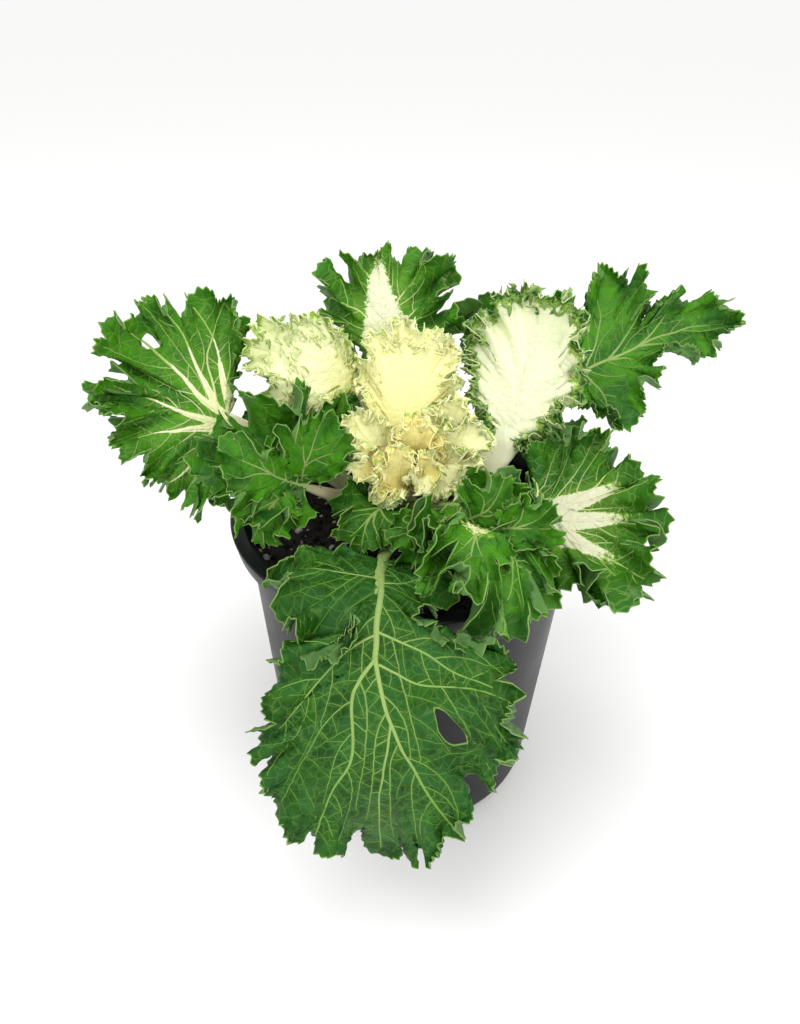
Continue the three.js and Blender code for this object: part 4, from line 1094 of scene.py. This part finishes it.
# where the curls of a blade stand: just inside its margin, looking outwards
def curlPoints(leaf, grid):
    seed = leaf["seed"]
    turns, course, length = marginCourse(leaf)
    count = int(length / leaf["curlStep"])
    order = np.arange(count)
    turn = np.interp((order + draw(order, seed + 4)) / count, course, turns)
    column = np.interp(turn, grid["turn"], np.arange(grid["columns"] + 1))
    length = between(grid, grid["toMargin"][..., None], column, np.zeros(count))[:, 0]
    inwards = leaf["curlBand"] * (1 - 0.6 * np.abs(turn)) * draw(order, seed + 6) ** 1.3
    share = 1 - inwards / np.maximum(length, 8)
    spot = between(grid, grid["points"], column, share)
    outward = unit(spot - between(grid, grid["points"], column, share - 0.05))
    flat = between(grid, grid["flat"], column, share)
    toMargin = between(grid, grid["toMargin"][..., None], column, share)[:, 0]
    patch = draw(np.floor(order / 5), seed + 8) * 0.6 + draw(order, seed + 9) * 0.4
    inset = np.where(patch < leaf["greenCurls"], -5.0, leaf["curlInset"])
    mesh = bpy.data.meshes.new("curlSpots")
    mesh.from_pydata(((spot - 0.5 * outward) * mm).tolist(), [], [])
    setValues(
        mesh, outward=outward, upward=unit(between(grid, grid["normals"], column, np.minimum(share, 0.96))),
        flat=inPattern(leaf, flat), near=np.tile([farAway, farAway, 0.0], (count, 1)),
        reach=np.column_stack([share, toMargin + inset, np.hypot(flat[:, 0], flat[:, 1])]),
    )
    return mesh


# gives the curl its thickness and stands one on each spot, a little turned and of uneven size
def makeCurlTree(curlObject):
    curlDraw = {"Smallest": 0.5, "Largest": 1.1, "Lean": 0.9, "Twist": 1.1, "Seed": 5}
    tree, node, given = newTree("marginCurls", curlDraw)
    curl = node("ObjectInfo", curlObject).outputs["Geometry"]
    curl = node("SetShadeSmooth", thickened(node, curl, -curlHabit["thickness"] * mm))
    outward, upward = (node("InputNamedAttribute", name, **vector) for name in ("outward", "upward"))
    turned = node("AlignRotationToVector", sockets={"Vector": outward}, axis="Z")
    turned = node("AlignRotationToVector", turned, sockets={"Vector": upward}, axis="Y", pivot_axis="Z")
    lean = node("CombineXYZ", given["Lean"], given["Twist"], given["Twist"])
    back = node("VectorMath", lean, -1.0, operation="SCALE")
    seed = {"Seed": given["Seed"]}
    spin = node("EulerToRotation", node("RandomValue", back, lean, sockets=seed, **vector))
    turned = node("RotateRotation", turned, spin, rotation_space="LOCAL")
    size = node("RandomValue", given["Smallest"], given["Largest"], sockets=seed, data_type="FLOAT")
    placed = {"Instance": curl, "Rotation": turned, "Scale": size}
    placed = node("InstanceOnPoints", given["Geometry"], sockets=placed)
    return endTree(tree, placed, given["Finish"])


curlObject = addObject("curl", makeCurlMesh())
curlTree, bladeTree, veinTree = makeCurlTree(curlObject), makeBladeTree(), makeVeinTree()


# one leaf as one object: blade and stalk, then its veins, main ones rounder than the twigs, then its curls
def growLeaf(name, shape):
    leaf = {**leafHabit, **shape}
    grid = bladeGrid(leaf)
    veins = growVeins(leaf, grid)
    finish = {"Finish": makeSkin("waxyLeaf_" + name, skins[leaf["look"]], leaf)}
    relief = paleRelief if leaf["branches"] == 0 else {}
    mesh = meshFrom(name, (*bladeSheet(leaf, grid, veins), 0.0), (*stalkShell(leaf), 1.0))
    parts = [growObject(name, mesh, bladeTree, {**relief, **finish})]
    for isTwig, jump, sides in ((False, 1, 8), (True, 2, 4)):
        chosen = [vein for vein in veins if (vein[2] >= 2) == isTwig]
        if chosen:
            lines = veinLines(leaf, grid, chosen, jump, veins)
            parts.append(growObject("veins", lines, veinTree, {**finish, "Sides": sides}))
    if leaf["curlStep"]:
        parts.append(growObject("curls", curlPoints(leaf, grid), curlTree, {**finish, "Seed": leaf["seed"]}))
    return joinObjects(*parts)


# the outline of a small fan-shaped blade
def fanOutline(half, length):
    side = [[-0.75 * half, 0.22 * length], [-half, 0.6 * length], [-0.62 * half, 0.9 * length]]
    return [[-2, 0], *side, [0, length], *[[-x, y] for x, y in side[::-1]], [2, 0]]


# loose lobes that stand out of a blade near its foot
flapHabit = {
    "stalk": 1, "fold": [22, 22], "wave": [34, 3, 0.2], "frill": [60, 4, 10], "crisp": [50, 2.8, 5.5],
    "teeth": [12, 3.2], "fineTeeth": 1.3, "lobes": [5, 0.12], "curl": [0.3, 115, 4, 8],
    "stalkWidth": [1.5, 1], "veins": 2, "veinWidth": [0.9, 0.5], "branches": 1, "tone": 0.5,
    "bloomShare": 0.6, "columns": 12, "ringGap": 1.6,
}
flaps = {
    "leaf_left_front": [
        {"rib": [[-43, -18, 160], [-40, -22, 171], [-36, -22, 181], [-32, -18, 190]], "size": [14, 32],
         "face": [[0.1, -1, 0.3], [0.2, -0.9, 0.5]], "seed": 91},
        {"rib": [[-46, -20, 160], [-55, -25, 168], [-63, -27, 174], [-70, -26, 178]], "size": [11, 30],
         "face": [[0, -1, 0.5], [0, -1, 0.5]], "seed": 92},
        {"rib": [[-48, -20, 159], [-54, -28, 154], [-58, -32, 148], [-60, -33, 141]], "size": [11, 24],
         "face": [[-0.1, -1, 0.4], [-0.1, -1, 0.4]], "seed": 93},
    ],
    "leaf_front_right": [
        {"rib": [[13, -34, 155], [7, -44, 155], [2, -51, 150], [-2, -56, 144]], "size": [12, 27],
         "face": [[-0.2, -0.8, 0.7], [-0.2, -0.9, 0.6]], "seed": 94},
        {"rib": [[20, -40, 158], [26, -44, 164], [30, -42, 170], [33, -38, 175]], "size": [12, 22],
         "face": [[0, -1, 0.5], [0, -1, 0.5]], "seed": 95},
        {"rib": [[24, -46, 160], [22, -56, 162], [20, -66, 158], [19, -72, 151]], "size": [12, 28],
         "face": [[0, -0.6, 0.8], [0, -0.8, 0.6]], "cream": [7, 3, 0], "seed": 96},
        {"rib": [[28, -48, 160], [36, -52, 163], [43, -52, 167], [48, -48, 170]], "size": [10, 24],
         "face": [[0, -1, 0.6], [0, -1, 0.6]], "seed": 97},
    ],
}
paleLooks = ("paleYellow", "greenRimmed", "greenFlecked")

for leafName, shape in leaves.items():
    parts = [growLeaf(leafName + "_blade", shape)]
    for flap in flaps.get(leafName, []):
        flap = {**flapHabit, **flap, "outline": fanOutline(*flap["size"])}
        parts.append(growLeaf(leafName + "_flap", flap))
    settle(joinObjects(*parts), "cream_leaf" if shape.get("look") in paleLooks else "green_leaf", leafName)


# the heart: small pale leaves round the foot of the middle one, in the same terms as the large ones
heartHabit = {
    "stalk": 1, "fold": [20, 20], "wave": [24, 3, 0.2], "frill": [54, 2.6, 8], "crisp": [54, 1.7, 4.2],
    "fullness": 0.5, "teeth": [16, 1.8], "fineTeeth": 1.2, "lobes": [5, 0.15], "curl": [0.2, 90, 3, 9],
    "stalkWidth": [3, 2], "veins": 0, "branches": 0, "cream": [80, 0.4, 0], "ragged": 4, "look": "heart",
    "warmth": 14, "columns": 12, "ringGap": 1.3, "crowding": 1.6, "curlStep": 0.9, "curlBand": 3.5,
    "greenCurls": 0.14,
}
heartLeaves = {
    "spoon": {
        "rib": [[-6, -6, 152], [-12, -10, 156], [-19, -12, 163], [-22, -12, 173]], "size": [10, 26],
        "face": [[0.5, 0, 1], [1, -0.3, 0.5]], "warmth": 24, "seed": 70,
    },
    "leftLobe": {
        "rib": [[-6, -2, 154], [-13, -2, 163], [-19, -1, 171], [-24, 1, 178]], "size": [9, 29],
        "face": [[0.3, -0.9, 0.6], [0.3, -0.9, 0.3]], "greenCurls": 0.34, "seed": 71,
    },
    "petal": {
        "rib": [[-6, -8, 151], [-9, -11, 154], [-11, -12, 160], [-10, -12, 166]], "size": [5, 15],
        "face": [[0.5, -0.3, 0.8], [0.8, -0.5, 0.3]], "teeth": [12, 1.4], "warmth": 20, "seed": 72,
    },
    "goldLeft": {
        "rib": [[-2, -7, 152], [-4, -11, 156], [-5, -13, 163], [-3, -13, 172]], "size": [7, 21],
        "face": [[0, -0.6, 0.8], [0, -0.9, 0.3]], "teeth": [12, 1.2], "look": "gold", "curlBand": 3,
        "seed": 73,
    },
    "goldMiddle": {
        "rib": [[1, -6, 153], [3, -10, 157], [5, -12, 162], [5, -12, 169]], "size": [6, 17],
        "face": [[-0.2, -0.6, 0.8], [-0.4, -0.9, 0.3]], "teeth": [12, 1.2], "look": "gold", "curlBand": 3,
        "seed": 74,
    },
    "goldTop": {
        "rib": [[0, -2, 158], [1, -6, 166], [1, -8, 174], [0, -7, 181]], "size": [8, 24],
        "face": [[0, -0.8, 0.6], [0, -0.9, 0.3]], "look": "gold", "curlBand": 6, "warmth": 26, "seed": 84,
    },
    "goldRight": {
        "rib": [[4, -4, 156], [7, -4, 162], [9, -3, 168], [9, -1, 173]], "size": [4, 17],
        "face": [[-0.3, -0.8, 0.5], [-0.3, -0.9, 0.3]], "teeth": [12, 1.2], "look": "gold", "curlBand": 3,
        "seed": 75,
    },
    "bottom": {
        "rib": [[4, -5, 153], [6, -9, 159], [9, -14, 160], [12, -18, 150]], "size": [10, 20],
        "face": [[0.1, -0.2, 1], [0.3, -1, 0.5]], "fold": [8, 8], "warmth": 4, "seed": 76,
    },
    "rightLobe": {
        "rib": [[4, -3, 154], [12, -5, 162], [19, -6, 169], [27, -6, 175]], "size": [11, 31],
        "face": [[-0.3, -0.8, 0.7], [-0.2, -0.8, 0.5]], "cream": [80, 1.2, 0], "warmth": 4,
        "greenCurls": 0.42, "seed": 77,
    },
    "rightLow": {
        "rib": [[4, -5, 153], [12, -8, 158], [19, -11, 162], [24, -13, 166]], "size": [8, 25],
        "face": [[0, -0.5, 0.9], [0.1, -0.8, 0.6]], "cream": [80, 1.2, 0], "warmth": 4, "greenCurls": 0.46,
        "seed": 78,
    },
    "backRight": {
        "rib": [[2, 0, 156], [9, 3, 165], [15, 5, 174], [19, 7, 182]], "size": [9, 31],
        "face": [[-0.2, -1, 0.4], [-0.2, -1, 0.4]], "seed": 79,
    },
    "low": {
        "rib": [[-5, -8, 151], [-8, -13, 154], [-9, -17, 154], [-10, -20, 149]], "size": [6, 14],
        "face": [[0, -0.3, 1], [0, -0.9, 0.5]], "teeth": [12, 1.6], "cream": [80, 1.8, 0],
        "greenCurls": 0.4, "seed": 80,
    },
}
heartPieces = []
for leafName, shape in heartLeaves.items():
    shape = {**heartHabit, **shape, "outline": fanOutline(*shape["size"])}
    heartPieces.append(growLeaf("heart_" + leafName, shape))
heartPiece = joinObjects(*heartPieces)
heartPiece.name = "heart_leaves"
settle(heartPiece, "heart_leaf", "heart")
bpy.data.objects.remove(curlObject)

# the pot, in millimetres: a rim turned out over a skirt, a collar, a tapered wall and a rounded foot
pot = {
    "rimRadius": 75, "height": 138, "rimDrop": 7.6, "skirtRadius": 73.6, "rimWidth": 5.6,
    "collarRadius": 68, "collarDrop": 14.3, "collarStep": 0.8, "footRadius": 59.4, "footRound": 7,
    "innerRound": 5, "wall": 1.5, "base": 2.2, "edgeRound": 0.8, "colour": "#050808", "sheen": "#0f1414",
}
potMake = {"Sides": 192, "Holes": 6, "Hole Radius": 5.0, "Hole Circle": 38.0}


# points along an arc, with the angles in degrees
def arcPoints(centre, radius, start, end, count):
    angles = np.radians(np.linspace(start, end, count))
    return [[centre[0] + radius * math.cos(a), centre[1] + radius * math.sin(a)] for a in angles]


# the section of the pot's wall, from the middle of its underside up the outside and back down the inside
def potProfile():
    top, wide, edge = (pot[key] for key in ("height", "rimRadius", "edgeRound"))
    foot, inner = pot["footRound"], pot["innerRound"]
    collar, skirt, wall, base = (pot[key] for key in ("collarRadius", "skirtRadius", "wall", "base"))
    lip = top - pot["rimDrop"]
    shoulder = lip - pot["collarDrop"]
    inside = wide - pot["rimWidth"]

    def wallAt(z):
        return pot["footRadius"] + (collar - pot["collarStep"] - pot["footRadius"]) * z / shoulder

    return [
        [0, 0], [30, 0], [46, 0], *arcPoints([wallAt(foot) - foot, foot], foot, -90, 0, 9),
        *([wallAt(z), z] for z in np.linspace(20, shoulder - 1.2, 7)), [wallAt(shoulder), shoulder],
        [collar - 0.2, shoulder + 0.3], [collar, shoulder + 0.7], [collar + 0.15, shoulder + 7],
        [collar + 0.3, lip + 0.8], *arcPoints([skirt - 0.6, lip + 0.6], 0.6, -90, 0, 4),
        [skirt + 0.5, lip + 3], *arcPoints([wide - edge, top - edge], edge, 0, 90, 6),
        *arcPoints([inside + 0.6, top - 0.6], 0.6, 90, 180, 4), [collar - wall, top - 3.8],
        [collar - wall - 0.2, top - 9], [wallAt(shoulder) - wall, shoulder - 1.5], [wallAt(60) - wall, 60],
        *arcPoints([wallAt(inner) - wall - inner, base + inner], inner, 0, -90, 6), [30, base], [0, base],
    ]


# turns a profile round the upright axis and cuts the drainage holes
def makePotTree():
    tree, node, given = newTree("turnedPot", potMake)
    size = node("AttributeDomainSize", given["Geometry"])
    rows = node("Math", given["Sides"], 1.0, operation="ADD")
    sheet = node("MeshGrid", 1.0, 1.0, size, rows)
    x, y, _ = node("SeparateXYZ", node("InputPosition")).outputs
    last = node("Math", size, 1.0, operation="SUBTRACT")
    order = node("Math", x, 0.5, operation="ADD")
    order = node("Math", node("Math", order, last, operation="MULTIPLY"), operation="ROUND")
    angle = node("Math", y, turnRound, operation="MULTIPLY")
    spot = node("SampleIndex", given["Geometry"], node("InputPosition"), order, domain="POINT", **vector)
    radius, _, height = node("SeparateXYZ", spot).outputs
    across = [node("Math", radius, node("Math", angle, operation=wave), operation="MULTIPLY")
              for wave in ("COSINE", "SINE")]
    wall = node("SetPosition", sheet, sockets={"Position": node("CombineXYZ", *across, height)})
    wall = node("FlipFaces", node("MergeByDistance", wall, True, mergeGap))
    circle, holeRadius = (node("Math", given[label], mm, operation="MULTIPLY")
                          for label in ("Hole Circle", "Hole Radius"))
    ring = node("MeshCircle", given["Holes"], circle)
    ring = node("Transform", ring, sockets={"Rotation": (0, 0, math.radians(30))})
    punch = node("MeshCylinder", 32, sockets={"Radius": holeRadius, "Depth": 0.012})
    punches = node("RealizeInstances", node("InstanceOnPoints", ring, sockets={"Instance": punch}))
    cut = node("MeshBoolean", wall, punches, operation="DIFFERENCE", solver="EXACT")
    soft = node("Math", node("InputMeshEdgeAngle"), math.radians(40), operation="LESS_THAN")
    cut = node("SetShadeSmooth", cut, True, soft, domain="EDGE")
    return endTree(tree, node("SetShadeSmooth", cut, domain="FACE"), given["Finish"])


# black polypropylene, injection moulded: a satin face with faint upright flow lines, 3 mm apart and drawn
# out along the wall, clouds of 33 mm in its gloss and a grain of 1 mm
def makePotPlastic():
    material, shader, node = newMaterial("mouldedPolypropylene")
    place = node("TexCoord").outputs["Object"]
    upright = node("Mapping", place, sockets={"Scale": (1.0, 1.0, 0.03)})
    flow = node("TexNoise", upright, 320.0, 3.0)
    cloud = node("TexNoise", place, 30.0, 3.0)
    dust = node("TexNoise", place, 900.0, 2.0)
    tone = node("Math", flow, 0.5, -0.1, operation="MULTIPLY_ADD")
    tone = node("Math", cloud, 0.6, tone, operation="MULTIPLY_ADD", use_clamp=True)
    relief = node("Math", dust, 0.3, flow, operation="MULTIPLY_ADD")
    feed(shader, [], {
        "Base Color": layered(node, pot["colour"], (tone, pot["sheen"])),
        "IOR": 1.42, "Specular IOR Level": 0.32,
        "Roughness": node("MapRange", cloud, 0.3, 0.7, 0.34, 0.46),
        "Normal": node("Bump", 0.35, 0.15 * mm, sockets={"Height": relief}),
    })
    return material


profile = np.array(potProfile())
profileMesh = bpy.data.meshes.new("potProfile")
steps = [(i, i + 1) for i in range(len(profile) - 1)]
profileMesh.from_pydata([(r * mm, 0, z * mm) for r, z in profile], steps, [])
potPiece = growObject("pot_shell", profileMesh, makePotTree(), {"Finish": makePotPlastic()})
settle(potPiece, "pot_plastic", "pot")

# potting mix: dark peat in crumbs of about a millimetre, with white perlite
soil = {
    "top": 122, "crown": 2, "radius": 64.6, "lumps": 1.5, "bottom": 2.6, "peat": "#14100d",
    "peatLight": "#2c231c", "perlite": "#d9d8d2", "perliteShade": "#9a978d",
}
crumbs = {"Per Square Metre": 110000.0, "Smallest": 0.4, "Largest": 1.5, "Roundness": 1, "Seed": 4}
perlite = {"Per Square Metre": 13000.0, "Smallest": 0.4, "Largest": 1.8, "Roundness": 2, "Seed": 9}


# points and faces of a profile turned round the upright axis, with its points lifted
def turnedShell(profile, around, lift):
    angle = np.arange(around) * turnRound / around
    rings = np.array(profile, float)
    x, y = rings[:, :1] * np.cos(angle), rings[:, :1] * np.sin(angle)
    points = np.stack([x, y, np.repeat(rings[:, 1:], around, 1)], -1)
    points[..., 2] += lift(x, y, points[..., 2])
    ends = np.stack([points[0].mean(0), points[-1].mean(0)])
    return np.vstack([points.reshape(-1, 3), ends]), tubeFaces(len(rings), around)


# how far the lumps of the mix lift points of its top
def soilLift(x, y, z):
    inward = np.clip((soil["radius"] - np.hypot(x, y)) / 6, 0, 1) * (z > 120)
    lumps = np.sin(x * 0.71 + 1.3) * np.sin(y * 0.63) + 0.7 * np.sin(x * 1.37 - y * 1.11)
    fine = 0.35 * np.sin(x * 2.3 + 2 * np.sin(y * 1.7)) + 0.3 * np.sin(y * 2.9 + 1.5 * np.sin(x * 2.1))
    return inward * (soil["lumps"] * lumps + 0.8 * fine)


# the section of the mix, from its underside up along the pot and over its low mound
def soilProfile():
    wide, top, low = soil["radius"], soil["top"], soil["bottom"]
    mound = [[wide * share, top + soil["crown"] * (1 - share) ** 1.5] for share in np.linspace(1, 0.01, 46)]
    return [[1, low], [51, low], [57, low + 6], [wide, 116], [wide, top - 1], *mound]


# scatters grains over the top of the mix, each a ball of 1 mm with dents of about 1 mm
def makeGrainTree():
    tree, node, given = newTree("grains", crumbs)
    upwards = node("SeparateXYZ", node("InputNormal")).outputs[2]
    isTop = node("Math", upwards, 0.3, operation="GREATER_THAN")
    density, seed = given["Per Square Metre"], {"Seed": given["Seed"]}
    spots = node("DistributePointsOnFaces", given["Geometry"], isTop, density, sockets=seed)
    grain = node("MeshIcoSphere", mm, given["Roundness"])
    own = node("InputPosition")
    bumps = node("TexNoise", own, 900.0)
    swell = node("MapRange", bumps, 0.2, 0.8, -0.35, 0.35)
    shift = node("VectorMath", own, swell, operation="SCALE")
    grain = node("SetPosition", grain, sockets={"Offset": shift})
    size = node("RandomValue", 0.0, 1.0, sockets=seed, data_type="FLOAT")
    size = node("Math", size, 2.2, operation="POWER")
    size = node("MapRange", size, 0.0, 1.0, given["Smallest"], given["Largest"])
    spin = node("RandomValue", sockets={"Max": (6.28, 6.28, 6.28), **seed}, **vector)
    placed = node("InstanceOnPoints", spots, sockets={"Instance": grain, "Rotation": spin, "Scale": size})
    return endTree(tree, placed, given["Finish"])


# matt crumbs, of peat or of expanded perlite: patches of 4 mm in two tones and pores of half a millimetre
def makeGrainFinish(name, darkColour, lightColour, roughness):
    material, shader, node = newMaterial(name)
    place = node("TexCoord").outputs["Object"]
    patches = node("TexNoise", place, 260.0, 5.0, 0.7)
    pores = node("TexNoise", place, 2200.0, 3.0)
    tone = node("MapRange", patches, 0.35, 0.7)
    feed(shader, [], {
        "Base Color": layered(node, darkColour, (tone, lightColour)), "Roughness": roughness,
        "Normal": node("Bump", 0.6, 0.2 * mm, sockets={"Height": pores}),
    })
    return material


peat = makeGrainFinish("dampPeat", soil["peat"], soil["peatLight"], 0.85)
white = makeGrainFinish("expandedPerlite", soil["perliteShade"], soil["perlite"], 0.9)
soilMesh = meshFrom("soil", (*turnedShell(soilProfile(), 120, soilLift), {}, 0.0))
grainTree = makeGrainTree()
crumbPiece = growObject("peat_crumbs", soilMesh.copy(), grainTree, {**crumbs, "Finish": peat})
perlitePiece = growObject("perlite", soilMesh.copy(), grainTree, {**perlite, "Finish": white})
soilMesh.materials.append(peat)
soilMesh.shade_smooth()
settle(joinObjects(addObject("peat_bed", soilMesh), crumbPiece), "potting_mix", "soil")
settle(perlitePiece, "potting_mix")

# the stem, ringed with the scars of fallen leaves
stem = {
    "x": -3, "foot": 112, "shade": "#7d8f55", "light": "#c9cf9c",
    "profile": [[7, 0], [6.6, 8], [6.4, 14], [6.0, 20], [5.7, 26], [5.4, 32], [5.2, 38], [3.7, 40]],
}


# the scars run round the stem as uneven rings
def stemLift(x, y, z):
    return 0.25 * np.sin(1.9 * z + 2 * np.sin(np.arctan2(y, x)))


# a green stem turning woody: a satin skin with fibres of 1 mm that run up it
def makeStemSkin():
    material, shader, node = newMaterial("fibrousStem")
    upright = node("Mapping", node("TexCoord").outputs["Object"], sockets={"Scale": (1.0, 1.0, 0.2)})
    fibre = node("TexNoise", upright, 900.0, 4.0)
    feed(shader, [], {
        "Base Color": layered(node, stem["shade"], (fibre, stem["light"])), "Roughness": 0.55,
        "Normal": node("Bump", 0.4, 0.2 * mm, sockets={"Height": fibre}),
    })
    return material


stemProfile = [[r, stem["foot"] + rise] for r, rise in splineThrough(stem["profile"], np.linspace(0, 1, 60))]
stemPoints, stemFaces = turnedShell(stemProfile, 40, stemLift)
stemMesh = meshFrom("stem", (stemPoints + np.array([stem["x"], 0, 0]), stemFaces, {}, 0.0))
stemMesh.materials.append(makeStemSkin())
stemMesh.shade_smooth()
settle(addObject("stem_skin", stemMesh), "stem_skin", "stem")
